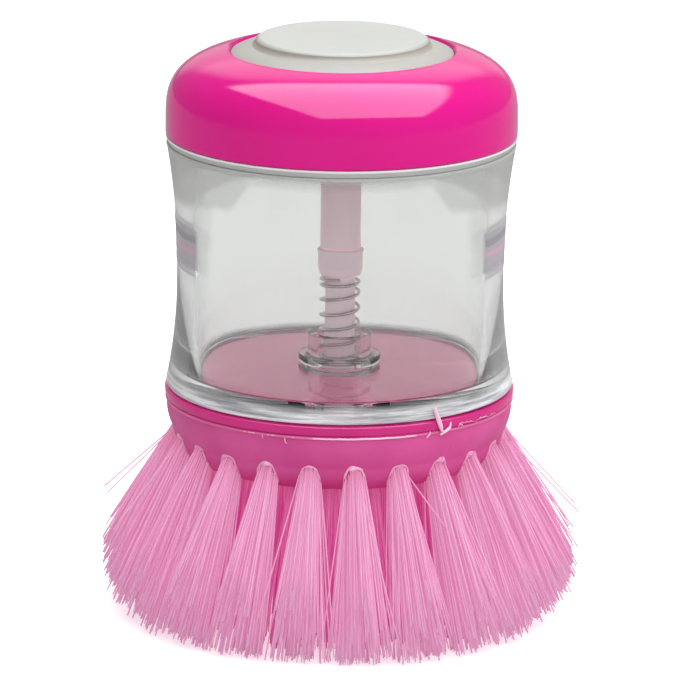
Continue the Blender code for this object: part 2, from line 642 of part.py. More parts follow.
def valve_seat(collection, look):
    """Flanged bush: its tube holds the spring's foot, its lip under the floor is the valve's seat."""
    lip = SEAT_LIP_Z - SEAT_Z
    ledge = SPRING_FOOT_Z - SEAT_Z
    outline = [(SEAT_TUBE_RADIUS, SEAT_TUBE_HEIGHT), (SEAT_TUBE_RADIUS, SEAT_FLANGE_THICKNESS)]
    outline += [(SEAT_FLANGE_RADIUS, SEAT_FLANGE_THICKNESS), (SEAT_FLANGE_RADIUS, 0.0)]
    outline += [(SEAT_TUBE_RADIUS, 0.0), (SEAT_TUBE_RADIUS, lip), (ROD_HOLE_RADIUS, lip)]
    outline += [(ROD_HOLE_RADIUS, ledge), (SEAT_BORE_RADIUS, ledge), (SEAT_BORE_RADIUS, SEAT_TUBE_HEIGHT)]
    return turned("valve_seat", outline, collection, look, MEDIUM_STEPS, SEAT_Z)


def spring_path():
    """Points of the wire: a straight end, close turns, open turns, close turns, a straight end."""
    wire = 2.0 * WIRE_RADIUS
    low = SPRING_FOOT_Z + SEAT_GAP + wire + WIRE_RADIUS
    high = STEM_COLLAR_Z - SEAT_GAP - wire - WIRE_RADIUS
    open_turns = SPRING_TURNS - CLOSE_TURNS_BELOW - CLOSE_TURNS_ABOVE
    close_rise = CLOSE_PITCH * (CLOSE_TURNS_BELOW + CLOSE_TURNS_ABOVE)
    open_pitch = (high - low - close_rise) / open_turns
    count = round(SPRING_TURNS * POINTS_PER_TURN)
    points = []
    for index in range(count + 1):
        turn = SPRING_TURNS * index / count
        below = min(turn, CLOSE_TURNS_BELOW)
        above = max(turn - CLOSE_TURNS_BELOW - open_turns, 0.0)
        middle = turn - below - above
        height = low + CLOSE_PITCH * (below + above) + open_pitch * middle
        angle = 2.0 * math.pi * turn
        points.append(Vector((SPRING_RADIUS * math.cos(angle), SPRING_RADIUS * math.sin(angle), height)))
    reach = wire + WIRE_RADIUS
    points.insert(0, points[0] - Vector((0.0, 0.0, reach)))
    points.append(points[-1] + Vector((0.0, 0.0, reach)))
    return points


def least_gap(points):
    """Least clear distance between stretches of the wire that are half a turn or more apart."""
    apart = POINTS_PER_TURN // 2
    least = math.inf
    for index, point in enumerate(points):
        for other_index in range(index + apart, len(points) - 1):
            start = points[other_index]
            along = points[other_index + 1] - start
            share = max(0.0, min(1.0, (point - start).dot(along) / along.length_squared))
            least = min(least, (point - start - along * share).length)
    return least - 2.0 * WIRE_RADIUS


def return_spring(collection, look):
    points = spring_path()
    gap = least_gap(points)
    print(f"return_spring: least gap to itself {gap * 1000:.3f} mm, wanted over {LEAST_WIRE_GAP * 1000:.1f} mm")
    curve = bpy.data.curves.new("return_spring", "CURVE")
    curve.dimensions = "3D"
    curve.bevel_depth = WIRE_RADIUS
    curve.bevel_resolution = 1
    curve.use_fill_caps = True
    path = curve.splines.new("POLY")
    path.points.add(len(points) - 1)
    for spot, point in zip(path.points, points):
        spot.co = (*point, 1.0)
    return add_object("return_spring", curve, collection, look)


# Bristles


def foot_places(count):
    """Places of a tuft's strands on its plug, as shares of the foot radius: a core and a ring."""
    core = 0 if count < 5 else 1 if count < 8 else 2
    places = []
    if core == 1:
        places.append((0.0, 0.0))
    if core == 2:
        places += [(CORE_STRAND_SHARE, 0.0), (-CORE_STRAND_SHARE, 0.0)]
    for index in range(count - core):
        angle = 2.0 * math.pi * (index + 0.5) / (count - core)
        places.append((math.cos(angle), math.sin(angle)))
    return places


def side_spread_angle(ring_radius, lean, length):
    """Spread along the ring that brings a tuft's tips close to the next tuft's and no further."""
    half_pitch = (ring_radius + length * math.sin(math.radians(lean))) * math.tan(math.pi / TUFT_COUNT)
    return math.degrees(math.atan((half_pitch - FOOT_RADIUS - STRAND_RADIUS - TIP_GAP) / length))


def add_strands(shape, count, lean, out_spread, side_spread, length, place):
    """Strands that fan out from a plug. The lean and the spreads are angles in the tuft's frame."""
    for out_share, side_share in foot_places(count):
        foot = Vector((FOOT_RADIUS * out_share, FOOT_RADIUS * side_share, 0.0))
        out = math.tan(math.radians(lean + out_spread * out_share))
        side = math.tan(math.radians(side_spread * side_share))
        direction = Vector((out, side, 1.0)).normalized()
        turn = Vector((0.0, 0.0, 1.0)).rotation_difference(direction).to_matrix().to_4x4()
        strand = place @ Matrix.Translation(foot) @ turn
        add_bar(shape, STRAND_RADIUS, -STRAND_ROOT_LENGTH, length, STRAND_SIDES, strand)


def trimmed_tuft(name, plug, strands, cutters, floor):
    """Fuse the strands to their plug and trim the tips on the plane that the brush stands on."""
    combine(plug, object_from_shape(name + "_strands", strands, cutters), "UNION")
    combine(plug, floor, "DIFFERENCE")
    return plug


def floor_cutter(collection):
    """A block under Z = 0 that trims the tips."""
    shape = bmesh.new()
    reach = 2.0 * BASE_RIM_RADIUS
    depth = BRISTLE_REACH
    bmesh.ops.create_cube(shape, size=1.0)
    bmesh.ops.scale(shape, vec=(2.0 * reach, 2.0 * reach, depth), verts=shape.verts)
    bmesh.ops.translate(shape, vec=(0.0, 0.0, -0.5 * depth), verts=shape.verts)
    return object_from_shape("floor_block", shape, collection)


def outer_tuft_mesh(collection, cutters, floor, look):
    plug = bmesh.new()
    add_bar(plug, TUFT_RADIUS, -OUTER_PLUG_LENGTH, 0.0, PLUG_STEPS, outer_frame())
    piece = object_from_shape("outer_tuft", plug, collection, look)
    strands = bmesh.new()
    side_spread = side_spread_angle(outer_root()[0], OUTER_LEAN, OUTER_LENGTH)
    add_strands(
        strands, OUTER_STRAND_COUNT, 0.0, OUTER_SPREAD_ANGLE, side_spread, OUTER_LENGTH, outer_frame()
    )
    return trimmed_tuft("outer_tuft", piece, strands, cutters, floor)


def slice_tuft_mesh(collection, cutters, floor, look):
    """The slice is seen from below, so its frame's X points to the axis and leans are negative."""
    half_length = 0.5 * (MIDDLE_RING_RADIUS - INNER_RING_RADIUS)
    plug = bmesh.new()
    add_stadium(plug, half_length, TUFT_RADIUS, -SLICE_THICKNESS, 0.0, PLUG_STEPS, slice_frame())
    piece = object_from_shape("slice_tuft", plug, collection, look)
    strands = bmesh.new()
    rows = (
        (MIDDLE_STRAND_COUNT, MIDDLE_RING_RADIUS, -half_length, MIDDLE_LEAN, MIDDLE_SPREAD_ANGLE),
        (INNER_STRAND_COUNT, INNER_RING_RADIUS, half_length, INNER_LEAN, INNER_SPREAD_ANGLE),
    )
    for count, ring_radius, along, lean, spread in rows:
        place = slice_frame() @ Matrix.Translation((along, 0.0, 0.0))
        length = (BRISTLE_REACH + SLICE_DEPTH + TRIM_DEPTH) / math.cos(math.radians(lean + spread))
        side_spread = side_spread_angle(ring_radius, lean, length)
        add_strands(strands, count, -lean, spread, side_spread, length, place)
    return trimmed_tuft("slice_tuft", piece, strands, cutters, floor)


def place_tufts(pattern, name, angle_of, collection):
    """Copies of one tuft round the base, which share its mesh."""
    mesh = pattern.data
    bpy.data.objects.remove(pattern, do_unlink=True)
    for index in range(TUFT_COUNT):
        tuft = add_object(f"{name}_{index + 1:02d}", mesh, collection)
        tuft.rotation_euler.z = angle_of(index) - math.radians(90.0)


def pivot(name, height, collection, parent=None):
    """An empty on the axis, which carries the pieces that move together."""
    empty = bpy.data.objects.new(name, None)
    collection.objects.link(empty)
    empty.parent = parent
    empty.location.z = height - (parent.matrix_world.translation.z if parent else 0.0)
    bpy.context.view_layer.update()
    return empty


def carry(parent, pieces):
    for piece in pieces:
        piece.parent = parent
        piece.matrix_parent_inverse = parent.matrix_world.inverted()


def main():
    clear_scene()
    parts = make_collection("soap_dispensing_dish_brush")
    cutters = make_collection("cutters")

    white = material("white_button", (0.74, 0.74, 0.69), 0.55)
    soft_white = material("white_membrane", (0.66, 0.62, 0.55), 0.65)
    magenta = material("magenta_cap", (0.76, 0.035, 0.32), 0.12)
    pink = material("pink_base", (0.60, 0.075, 0.27), 0.5)
    band = material("magenta_band", (0.55, 0.03, 0.17), 0.2)
    clear = material("clear_plastic", (0.92, 0.93, 0.93), 0.05, alpha=0.3, transmission=1.0)
    seat_clear = material("clear_seat", (0.85, 0.85, 0.85), 0.15, alpha=0.45, transmission=0.8)
    stem_white = material("stem_plastic", (0.53, 0.43, 0.46), 0.45)
    rod_white = material("rod_plastic", (0.40, 0.33, 0.36), 0.45)
    steel = material("spring_steel", (0.62, 0.62, 0.63), 0.25, metallic=1.0)
    pale_rubber = material("pale_gasket", (0.80, 0.79, 0.76), 0.6)
    dark_rubber = material("seal_rubber", (0.10, 0.10, 0.11), 0.7)
    gasket_rubber = material("outlet_rubber", (0.12, 0.12, 0.13), 0.7)
    nylon = material("pink_nylon", (0.75, 0.18, 0.41), 0.45)

    brush_base(parts, cutters, pink)
    base_collar(parts, band)
    outlet_gasket(parts, gasket_rubber)
    reservoir(parts, cutters, clear)
    valve_seat(parts, seat_clear)
    return_spring(parts, steel)

    floor = floor_cutter(cutters)
    place_tufts(outer_tuft_mesh(parts, cutters, floor, nylon), "outer_tuft", around, parts)
    place_tufts(slice_tuft_mesh(parts, cutters, floor, nylon), "inner_tuft_pair", between, parts)

    gasket_lift = pivot("gasket_lift", CAP_GASKET_Z, parts)
    cap_turn = pivot("cap_turn", CAP_Z, parts, gasket_lift)
    button_slide = pivot("button_slide", PAD_TOP_Z, parts, cap_turn)
    valve_slide = pivot("valve_slide", STEM_COLLAR_Z, parts)
    carry(gasket_lift, [cap_gasket(parts, pale_rubber)])
    carry(cap_turn, [cap_shell(parts, magenta), button_membrane(parts, soft_white)])
    carry(button_slide, [push_button(parts, white), button_stem(parts, stem_white)])
    carry(valve_slide, [valve_stem(parts, rod_white), valve_seal(parts, dark_rubber)])


main()
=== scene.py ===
"""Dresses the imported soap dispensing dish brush: finer bodies, bristles, materials, light and camera."""

import math

import bmesh
import bpy
import numpy as np
from mathutils import Matrix, Vector


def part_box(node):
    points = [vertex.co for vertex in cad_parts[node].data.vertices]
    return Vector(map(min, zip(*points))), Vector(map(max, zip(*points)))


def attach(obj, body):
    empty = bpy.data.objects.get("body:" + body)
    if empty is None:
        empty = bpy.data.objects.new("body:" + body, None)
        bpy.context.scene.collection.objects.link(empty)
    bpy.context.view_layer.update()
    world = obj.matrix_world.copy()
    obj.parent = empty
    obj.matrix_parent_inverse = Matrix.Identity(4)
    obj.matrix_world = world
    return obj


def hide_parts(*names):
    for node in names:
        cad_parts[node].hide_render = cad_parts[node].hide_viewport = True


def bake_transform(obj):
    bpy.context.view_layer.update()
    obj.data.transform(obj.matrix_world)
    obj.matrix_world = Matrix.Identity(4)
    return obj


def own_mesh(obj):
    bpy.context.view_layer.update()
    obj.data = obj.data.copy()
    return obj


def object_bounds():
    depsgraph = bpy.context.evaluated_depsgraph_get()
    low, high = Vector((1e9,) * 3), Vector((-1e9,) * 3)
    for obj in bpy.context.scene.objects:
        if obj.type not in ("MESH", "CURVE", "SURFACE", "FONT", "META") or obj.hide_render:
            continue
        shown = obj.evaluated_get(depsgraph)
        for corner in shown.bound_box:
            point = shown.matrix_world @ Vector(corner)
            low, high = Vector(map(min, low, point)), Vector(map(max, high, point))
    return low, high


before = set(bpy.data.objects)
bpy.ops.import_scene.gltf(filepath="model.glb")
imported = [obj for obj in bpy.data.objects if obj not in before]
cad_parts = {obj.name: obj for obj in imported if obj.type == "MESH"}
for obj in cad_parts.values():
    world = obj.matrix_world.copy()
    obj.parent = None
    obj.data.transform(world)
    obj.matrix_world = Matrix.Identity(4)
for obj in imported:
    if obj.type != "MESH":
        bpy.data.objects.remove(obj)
CAD_LOW, CAD_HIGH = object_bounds()

# Lengths are in millimetres and are turned into metres where a mesh is made.
MM = 0.001
FULL_TURN = 2.0 * math.pi


def extent(name):
    """Lowest point, highest point and greatest radius of a node that is turned about the Z axis."""
    low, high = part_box(name)
    return low[2] / MM, high[2] / MM, high[0] / MM


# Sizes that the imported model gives

RESERVOIR_Z, NECK_TOP_Z, RIM_RADIUS = extent("reservoir")
CAP_Z, CAP_TOP_Z, CAP_RADIUS = extent("cap_shell")
MEMBRANE_Z, MEMBRANE_TOP_Z, MEMBRANE_RADIUS = extent("button_membrane")
PAD_FOOT_Z, PAD_TOP_Z, PAD_LIP_RADIUS = extent("push_button")
SPIGOT_Z, STEM_TOP_Z, STEM_RADIUS = extent("button_stem")
TAIL_Z, COLLAR_TOP_Z, STEM_COLLAR_RADIUS = extent("valve_stem")
SEAL_Z, SEAL_TOP_Z, SEAL_RADIUS = extent("valve_seal")
SEAT_LIP_Z, SEAT_TOP_Z, SEAT_FLANGE_RADIUS = extent("valve_seat")
SPRING_FOOT_Z, SPRING_TOP_Z, SPRING_REACH = extent("return_spring")
BASE_Z, PLATEAU_Z, BASE_RADIUS = extent("brush_base")
COLLAR_Z, COLLAR_RIM_Z, COLLAR_RADIUS = extent("base_collar")
OUTLET_GASKET_Z, OUTLET_GASKET_TOP_Z, OUTLET_GASKET_RADIUS = extent("outlet_gasket")

# Reservoir

FLOOR_THICKNESS = 2.2
INNER_FOOT_RADIUS = RIM_RADIUS - 4.3
INNER_FILLET = 0.6
NECK_HEIGHT = 7.0
NECK_RADIUS = RIM_RADIUS - 2.4
NECK_BORE = NECK_RADIUS - 1.5
SHOULDER_Z = NECK_TOP_Z - NECK_HEIGHT
BODY_HEIGHT = SHOULDER_Z - RESERVOIR_Z
WAIST_RADIUS = RIM_RADIUS - 1.7
WAIST_HEIGHT = 0.456 * BODY_HEIGHT
FLARE_POWER = 2.2
FLOOR_MIDDLE_RADIUS = 16.0
FLOOR_HOLE_RADIUS = 5.2
GRIP_MIDDLE_Z = RESERVOIR_Z + 22.7
GRIP_PITCH = 1.9
GRIP_COUNT = 4
GRIP_HALF_HEIGHT = 0.5 * GRIP_COUNT * GRIP_PITCH
GRIP_PROUD = 0.09
GRIP_DIP_SHARE = 0.3
GRIP_END_SHARE = 0.12
GRIP_HALF_ANGLE = 31.0
GRIP_FADE_ANGLE = 4.0
THREAD_PITCH = 4.0
THREAD_DEPTH = 0.42
THREAD_WIDTH = 1.1
THREAD_RUNOUT = 0.8

# Cap and button

CAP_SKIRT = 2.3
DOME_POWER = 3.2
DOME_RISE = 11.53
DOME_WALL = 1.8
CAP_BORE = NECK_RADIUS + 0.7
RECESS_RADIUS = MEMBRANE_RADIUS + 0.3
LEDGE_Z = CAP_TOP_Z - 1.0
LEDGE_THICKNESS = 1.3
MOUTH_DROP = 0.5
CAP_MOUTH_RADIUS = PAD_LIP_RADIUS + 0.3
MEMBRANE_BORE = MEMBRANE_RADIUS - 3.2
PAD_RADIUS = MEMBRANE_BORE - 0.35
PAD_EDGE = 0.9
PAD_CROWN = 0.12
PAD_TOP = ((0.0, 0.0), (4.0, 0.01), (8.0, 0.035), (11.0, 0.08))
PAD_LIP_TOP_Z = MEMBRANE_Z - 0.3
PAD_LIP_THICKNESS = 1.2
PAD_WALL = 1.2
PAD_CEILING_Z = PAD_TOP_Z - 1.5
SOCKET_BORE = STEM_RADIUS + 0.3
SOCKET_WALL = 1.3
FLANGE_SLOPE = 0.95
FLANGE_SHARES = (0.12, 0.3, 0.5, 0.7, 0.88, 1.0)
SKIN_WIDTH = 1.9

# Valve

SPIGOT_RADIUS = 2.2
STEM_BORE = 1.2
ROD_RADIUS = 2.3
SOCKET_RADIUS = 2.5
SOCKET_DEPTH = 3.0
TAIL_RADIUS = 1.4
TAIL_HEAD_RADIUS = 2.2
SEAL_BORE = 1.55
WIRE_RADIUS = 0.275
SPRING_RADIUS = SPRING_REACH - WIRE_RADIUS
SPRING_TURNS = 6.75
CLOSE_BELOW = 0.75
CLOSE_ABOVE = 1.25
CLOSE_PITCH = 1.0
STEM_COLLAR_FOOT_Z = 52.3
STEM_FOOT_Z = 57.1
SEAT_FOOT_Z = RESERVOIR_Z + FLOOR_THICKNESS + 0.3
SEAT_FLANGE_TOP_Z = SEAT_FOOT_Z + 1.3
SEAT_TUBE_RADIUS = 4.9
SEAT_BORE = 3.5
ROD_HOLE_RADIUS = 2.75

# Base and bristles

BASE_TOP_Z = PLATEAU_Z - 2.0
PLATEAU_RADIUS = BASE_RADIUS - 4.2
WALL_RADIUS = BASE_RADIUS - 1.2
CORNER_RADIUS = 4.0
CORNER_Z = BASE_Z + CORNER_RADIUS
RIM_HEIGHT = 1.0
RIM_Z = BASE_TOP_Z - RIM_HEIGHT
SWELL_POWER = 1.8
UNDERSIDE_RADIUS = 12.0
OUTLET_RADIUS = 3.2
CHAMBER_Z = 26.9
TUFT_COUNT = 23
FIRST_TUFT_ANGLE = 5.8
OUTER_RING = WALL_RADIUS - 0.65
MIDDLE_RING = OUTER_RING - 4.55
INNER_RING = MIDDLE_RING - 3.7
OUTER_LEAN = 20.2
MIDDLE_LEAN = 13.0
INNER_LEAN = 7.0
PLUG_DEPTH = 3.0
TUFT_RADIUS = 1.38
FILAMENT_RADIUS = 0.12
OUTER_SPLAY = 4.0
OUTER_LENGTH = 30.0
TIP_REACH = min(CAD_HIGH[0], CAD_HIGH[1], -CAD_LOW[0], -CAD_LOW[1]) / MM - 0.2

# Sides of turned pieces: of most of them, of those with threads or ribs, and of those near the axis
STEPS = 160
FINE_STEPS = 192
SMALL_STEPS = 72


# Mesh helpers


def add_piece(name, mesh, body, look, replaces=(), sharp=32.0):
    """Links a mesh as a smooth piece, and tells the frame what it rides on and stands for."""
    mesh.shade_smooth()
    if sharp:
        mesh.set_sharp_from_angle(angle=math.radians(sharp))
    mesh.materials.append(look)
    piece = bpy.data.objects.new(name, mesh)
    bpy.context.scene.collection.objects.link(piece)
    if body:
        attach(piece, body)
    if replaces:
        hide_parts(*replaces)
    if sharp:
        flat = piece.modifiers.new("flat_faces_stay_flat", "WEIGHTED_NORMAL")
        flat.keep_sharp = True
        flat.weight = 100
    return piece


def add_turned(name, outline, body, look, slot, replaced, steps=STEPS, **how):
    """Adds a turned piece that stands for one node."""
    add_piece(name, lathe(name, outline, steps, **how), body, look, [replaced])


def arc(radius_at, height_at, radius, start, end, count):
    """Points of an arc in the plane of radius and height, from one angle in degrees to another."""
    points = []
    for index in range(count + 1):
        angle = math.radians(start + (end - start) * index / count)
        points.append((radius_at + radius * math.cos(angle), height_at + radius * math.sin(angle)))
    return points


def stretch(start, end, count):
    """The points that part a straight line into equal lengths, without its ends."""
    return [tuple(a + (b - a) * step / count for a, b in zip(start, end)) for step in range(1, count)]


def softened(corners, count=5):
    """Rounds the corners of a closed outline of (radius, height, rounding); a count of 1 cuts them off."""
    points = []
    for index, (radius, height, rounding) in enumerate(corners):
        here = Vector((radius, height))
        if not rounding:
            points.append((radius, height))
            continue
        ends = []
        for other in (corners[index - 1], corners[(index + 1) % len(corners)]):
            along = Vector(other[:2]) - here
            ends.append(here + along * min(0.49, rounding / along.length))
        for step in range(count + 1):
            share = step / count
            spot = ends[0].lerp(here, share).lerp(here.lerp(ends[1], share), share)
            points.append((spot.x, spot.y))
    return points


def filled(outline, pitch):
    """The same closed outline with points added so that no stretch is longer than the pitch."""
    points = []
    for start, end in zip(outline, outline[1:] + outline[:1]):
        points += [start, *stretch(start, end, max(1, math.ceil(math.dist(start, end) / pitch)))]
    return points


def mesh_from(work, name):
    """The mesh of a bmesh, which is freed."""
    mesh = bpy.data.meshes.new(name)
    work.to_mesh(mesh)
    work.free()
    return mesh


def lathe(name, outline, steps=STEPS, closed=True, shape=None):
    """Turned mesh from (radius, height) points; a closed outline makes a ring.

    shape is a function of the radius, the height and the angle that returns another radius.
    """
    work = bmesh.new()
    rings = []
    for radius, height in outline:
        if radius < 1e-6:
            rings.append([work.verts.new((0.0, 0.0, height * MM))] * steps)
            continue
        ring = []
        for step in range(steps):
            angle = FULL_TURN * step / steps
            out = (shape(radius, height, angle) if shape else radius) * MM
            ring.append(work.verts.new((out * math.cos(angle), out * math.sin(angle), height * MM)))
        rings.append(ring)
    pairs = list(zip(rings, rings[1:]))
    if closed:
        pairs.append((rings[-1], rings[0]))
    for first, second in pairs:
        for step in range(steps):
            after = (step + 1) % steps
            corners = dict.fromkeys((first[step], first[after], second[after], second[step]))
            if len(corners) > 2:
                work.faces.new(list(corners))
    bmesh.ops.recalc_face_normals(work, faces=work.faces)
    return mesh_from(work, name)


def swept(name, middles, first, second, radii, sides, start=0.0):
    """Tubes with closed ends in one mesh: the places of their middles, two directions across and radii.

    Each array has a row for a tube and in it an entry for a ring, or one for all. start is the place of
    the first corner of a ring, as a share of a side.
    """
    count, rings = middles.shape[:2]
    turn = ((np.arange(sides) + start) * FULL_TURN / sides)[:, None]
    ring = first[:, :, None] * np.cos(turn) + second[:, :, None] * np.sin(turn)
    spots = middles[:, :, None] + ring * radii[:, :, None, None]
    foot = np.arange(count)[:, None] * rings * sides
    faces = []
    for row in range(rings - 1):
        for step in range(sides):
            after = (step + 1) % sides
            faces += (foot + row * sides + (step, after, after + sides, step + sides)).tolist()
    faces += (foot + np.arange(sides)[::-1]).tolist()
    faces += (foot + (rings - 1) * sides + np.arange(sides)).tolist()
    rough = bpy.data.meshes.new(name)
    rough.from_pydata((spots.reshape(-1, 3) * MM).tolist(), [], faces)
    work = bmesh.new()
    work.from_mesh(rough)
    bpy.data.meshes.remove(rough)
    bmesh.ops.recalc_face_normals(work, faces=work.faces)
    return mesh_from(work, name)


def across_of(ways):
    """Level directions across others, of length 1."""
    across = np.cross(ways, (0.0, 0.0, 1.0))
    upright = np.linalg.norm(across, axis=1) < 1e-6
    across[upright] = (0.0, 1.0, 0.0)
    return across / np.linalg.norm(across, axis=1, keepdims=True)


def tube(name, points, radii, sides=8):
    """Tube with closed ends along points in millimetres."""
    points = np.array(points, float)
    radii = np.broadcast_to(np.array(radii, float), len(points))
    along = np.gradient(points, axis=0)
    along /= np.linalg.norm(along, axis=1, keepdims=True)
    side = across_of(along)
    return swept(name, points[None], side[None], np.cross(side, along)[None], radii[None], sides)


def joined(name, meshes):
    """One mesh of several."""
    work = bmesh.new()
    for mesh in meshes:
        work.from_mesh(mesh)
        bpy.data.meshes.remove(mesh)
    return mesh_from(work, name)


def smooth_step(value, low, high):
    """0 to 1 between two values, with a soft start and end."""
    share = min(1.0, max(0.0, (value - low) / (high - low)))
    return share * share * (3.0 - 2.0 * share)


def ripple(angle, seed, waves, size):
    """A closed irregular wave round the axis, for edges that moulding leaves uneven."""
    source = np.random.default_rng(seed)
    total = 0.0
    for wave in waves:
        phase = source.uniform(0.0, FULL_TURN)
        total += source.uniform(0.4, 1.0) * math.sin(wave * angle + phase)
    return size * total / len(waves)


# Shader helpers. A colour is written in screen values from 0 to 255.


def linear(red, green, blue):
    """A colour in screen values as a socket wants it."""
    values = []
    for value in (red, green, blue):
        value /= 255.0
        values.append(value / 12.92 if value <= 0.04045 else ((value + 0.055) / 1.055) ** 2.4)
    return (*values, 1.0)


def node(tree, kind, inputs, **settings):
    """A shader node with its settings, and with values, colours, sockets or other nodes on its inputs."""
    made = tree.nodes.new("ShaderNode" + kind)
    for key, value in settings.items():
        setattr(made, key, value)
    for key, value in inputs.items():
        socket = made.inputs[key]
        if isinstance(value, bpy.types.Node):
            value = value.outputs[0]
        if isinstance(value, bpy.types.NodeSocket):
            tree.links.new(value, socket)
        elif socket.type == "RGBA" and len(value) == 3:
            socket.default_value = linear(*value)
        else:
            socket.default_value = value
    return made


def number(tree, operation, first, second=0.0, clamp=False):
    inputs = {0: first, 1: second}
    return node(tree, "Math", inputs, operation=operation, use_clamp=clamp).outputs[0]


def times(tree, product, *others):
    """The product of two or more numbers."""
    for other in others:
        product = number(tree, "MULTIPLY", product, other)
    return product


def mapped(tree, value, low, high, to_low=0.0, to_high=1.0, kind="LINEAR"):
    """A value between two others brought to between two more."""
    inputs = {0: value, 1: low, 2: high, 3: to_low, 4: to_high}
    return node(tree, "MapRange", inputs, interpolation_type=kind, clamp=True).outputs[0]


def eased(tree, value, low, high, to_low=0.0, to_high=1.0):
    """The same with a soft start and end."""
    return mapped(tree, value, low, high, to_low, to_high, "SMOOTHSTEP")


def mix(tree, share, first, second):
    return node(tree, "Mix", {0: share, 2: first, 3: second}).outputs[0]


def colour_mix(tree, share, first, second):
    return node(tree, "Mix", {0: share, 6: first, 7: second}, data_type="RGBA").outputs[2]


def noise(tree, where, scale, detail=3.0, roughness=0.55):
    inputs = {"Vector": where, "Scale": scale, "Detail": detail, "Roughness": roughness}
    return node(tree, "TexNoise", inputs).outputs[0]


def object_place(tree):
    return node(tree, "TexCoord", {}).outputs["Object"]


def stretched(tree, scale):
    """Object coordinates with each axis scaled."""
    return node(tree, "Mapping", {0: object_place(tree), 3: scale}).outputs[0]


def bumped(tree, relief, strength, depth):
    """The normals of a relief of a depth in millimetres."""
    return node(tree, "Bump", {"Height": relief, "Strength": strength, "Distance": depth * MM})


def attribute(tree, name):
    return node(tree, "Attribute", {}, attribute_name=name).outputs["Fac"]


def new_material(name):
    material = bpy.data.materials.new(name)
    material.use_nodes = True
    material.node_tree.nodes.clear()
    return material, material.node_tree


def surfaced(material, shader):
    """The material with a shader as its surface."""
    node(material.node_tree, "OutputMaterial", {"Surface": shader})
    return material


# Materials

GRAIN_DEPTH = 0.1
FLOW_DEPTH = 0.2
DRAWN_DEPTH = 0.04


def plastic(name, first, second, rough, grain, bump, tint=None, drift=60.0, sockets=None, glow=None):
    """Moulded plastic: a drift between two near colours, uneven gloss and a fine grain in relief.

    tint is a function of the tree and the colour that returns another colour. glow gives the heights in
    millimetres between which a painted glow grows, and its strength: emission that stands in for light.
    """
    material, tree = new_material(name)
    where = stretched(tree, (1.0, 1.0, 1.0))
    slow = noise(tree, where, drift, 2.0)
    colour = colour_mix(tree, mapped(tree, slow, 0.35, 0.65), first, second)
    if tint:
        colour = tint(tree, colour)
    gloss = noise(tree, where, drift * 3.1, 4.0)
    inputs = {"Base Color": colour, "Roughness": mapped(tree, gloss, 0.3, 0.7, *rough)}
    inputs["Normal"] = bumped(tree, noise(tree, where, grain, 4.0), bump, GRAIN_DEPTH)
    inputs.update(sockets or {})
    # A painted glow: emission that stands in for light.
    if glow:
        height = node(tree, "SeparateXYZ", {0: where}).outputs[2]
        inputs["Emission Color"] = colour
        inputs["Emission Strength"] = eased(tree, height, glow[0] * MM, glow[1] * MM, 0.0, glow[2])
    return surfaced(material, node(tree, "BsdfPrincipled", inputs))


# What lamp light keeps at each face of a clear part that it passes.
CLEAR_PASSING = (252, 251, 251)


def clear_plastic(name, colour, rough, bump, ior=1.49, painted_layer=None):
    """Clear plastic with faint flow lines and scuffs, which lets lamp light reach what is inside.

    The last argument is a function of the tree that returns the share and the colour of a diffuse layer of
    painted light and shade.
    """
    material, tree = new_material(name)
    where = stretched(tree, (1.0, 1.0, 0.35))
    scuffs = noise(tree, where, 900.0, 5.0, 0.7)
    flow = noise(tree, where, 130.0, 2.0)
    inputs = {"Base Color": colour, "Roughness": mapped(tree, scuffs, 0.55, 0.8, *rough)}
    inputs["Normal"] = bumped(tree, flow, bump, FLOW_DEPTH)
    inputs["Transmission Weight"] = 1.0
    inputs["IOR"] = ior
    look = node(tree, "BsdfPrincipled", inputs)
    # A diffuse layer of painted light and shade over the clear plastic.
    if painted_layer:
        share, painted_colour = painted_layer(tree)
        look = node(tree, "MixShader", {0: share, 1: look, 2: node(tree, "BsdfDiffuse", {"Color": painted_colour})})
    passing = node(tree, "BsdfTransparent", {"Color": CLEAR_PASSING})
    lamp_light = node(tree, "LightPath", {}).outputs["Is Shadow Ray"]
    return surfaced(material, node(tree, "MixShader", {0: lamp_light, 1: look, 2: passing}))


# Light that scatters from filament to filament past the bounces that a render follows.
BRISTLE_GLOW = 0.42
INNER_BRISTLE_GLOW = 0.55
BRISTLE_DUSK = 0.12
BRISTLE_SHEERNESS = 0.4


def bristle_material():
    """Dyed nylon: each filament has its own tone, and all are duskier at the root.

    The attribute tone goes from 0 to 0.4 in the inner tufts and from 0.54 up in the outer ones. The inner
    tufts' deeper pink is painted shade and their stronger emission a painted glow between the outer tufts.
    """
    material, tree = new_material("bristle_nylon_pink")
    tone = attribute(tree, "tone")
    colour = colour_mix(tree, mapped(tree, tone, 0.0, 0.5), (212, 58, 156), (231, 161, 203))
    colour = colour_mix(tree, mapped(tree, tone, 0.5, 1.0), colour, (242, 207, 229))
    fine = noise(tree, stretched(tree, (1.0, 1.0, 0.12)), 2600.0, 2.0)
    colour = colour_mix(tree, mapped(tree, fine, 0.55, 0.8, 0.0, 0.15), colour, (248, 228, 240))
    root = eased(tree, attribute(tree, "along"), 0.0, 0.3, 0.5, 0.0)
    colour = colour_mix(tree, root, colour, (228, 132, 182))
    body = colour_mix(tree, BRISTLE_DUSK, colour, (0, 0, 0))
    inputs = {"Base Color": body, "Roughness": mapped(tree, fine, 0.3, 0.7, 0.46, 0.62), "IOR": 1.53}
    inputs["Emission Color"] = colour
    inputs["Emission Strength"] = mapped(tree, tone, 0.4, 0.54, INNER_BRISTLE_GLOW, BRISTLE_GLOW)
    solid = node(tree, "BsdfPrincipled", inputs)
    sheer = node(tree, "BsdfTranslucent", {"Color": body})
    return surfaced(material, node(tree, "MixShader", {0: BRISTLE_SHEERNESS, 1: solid, 2: sheer}))


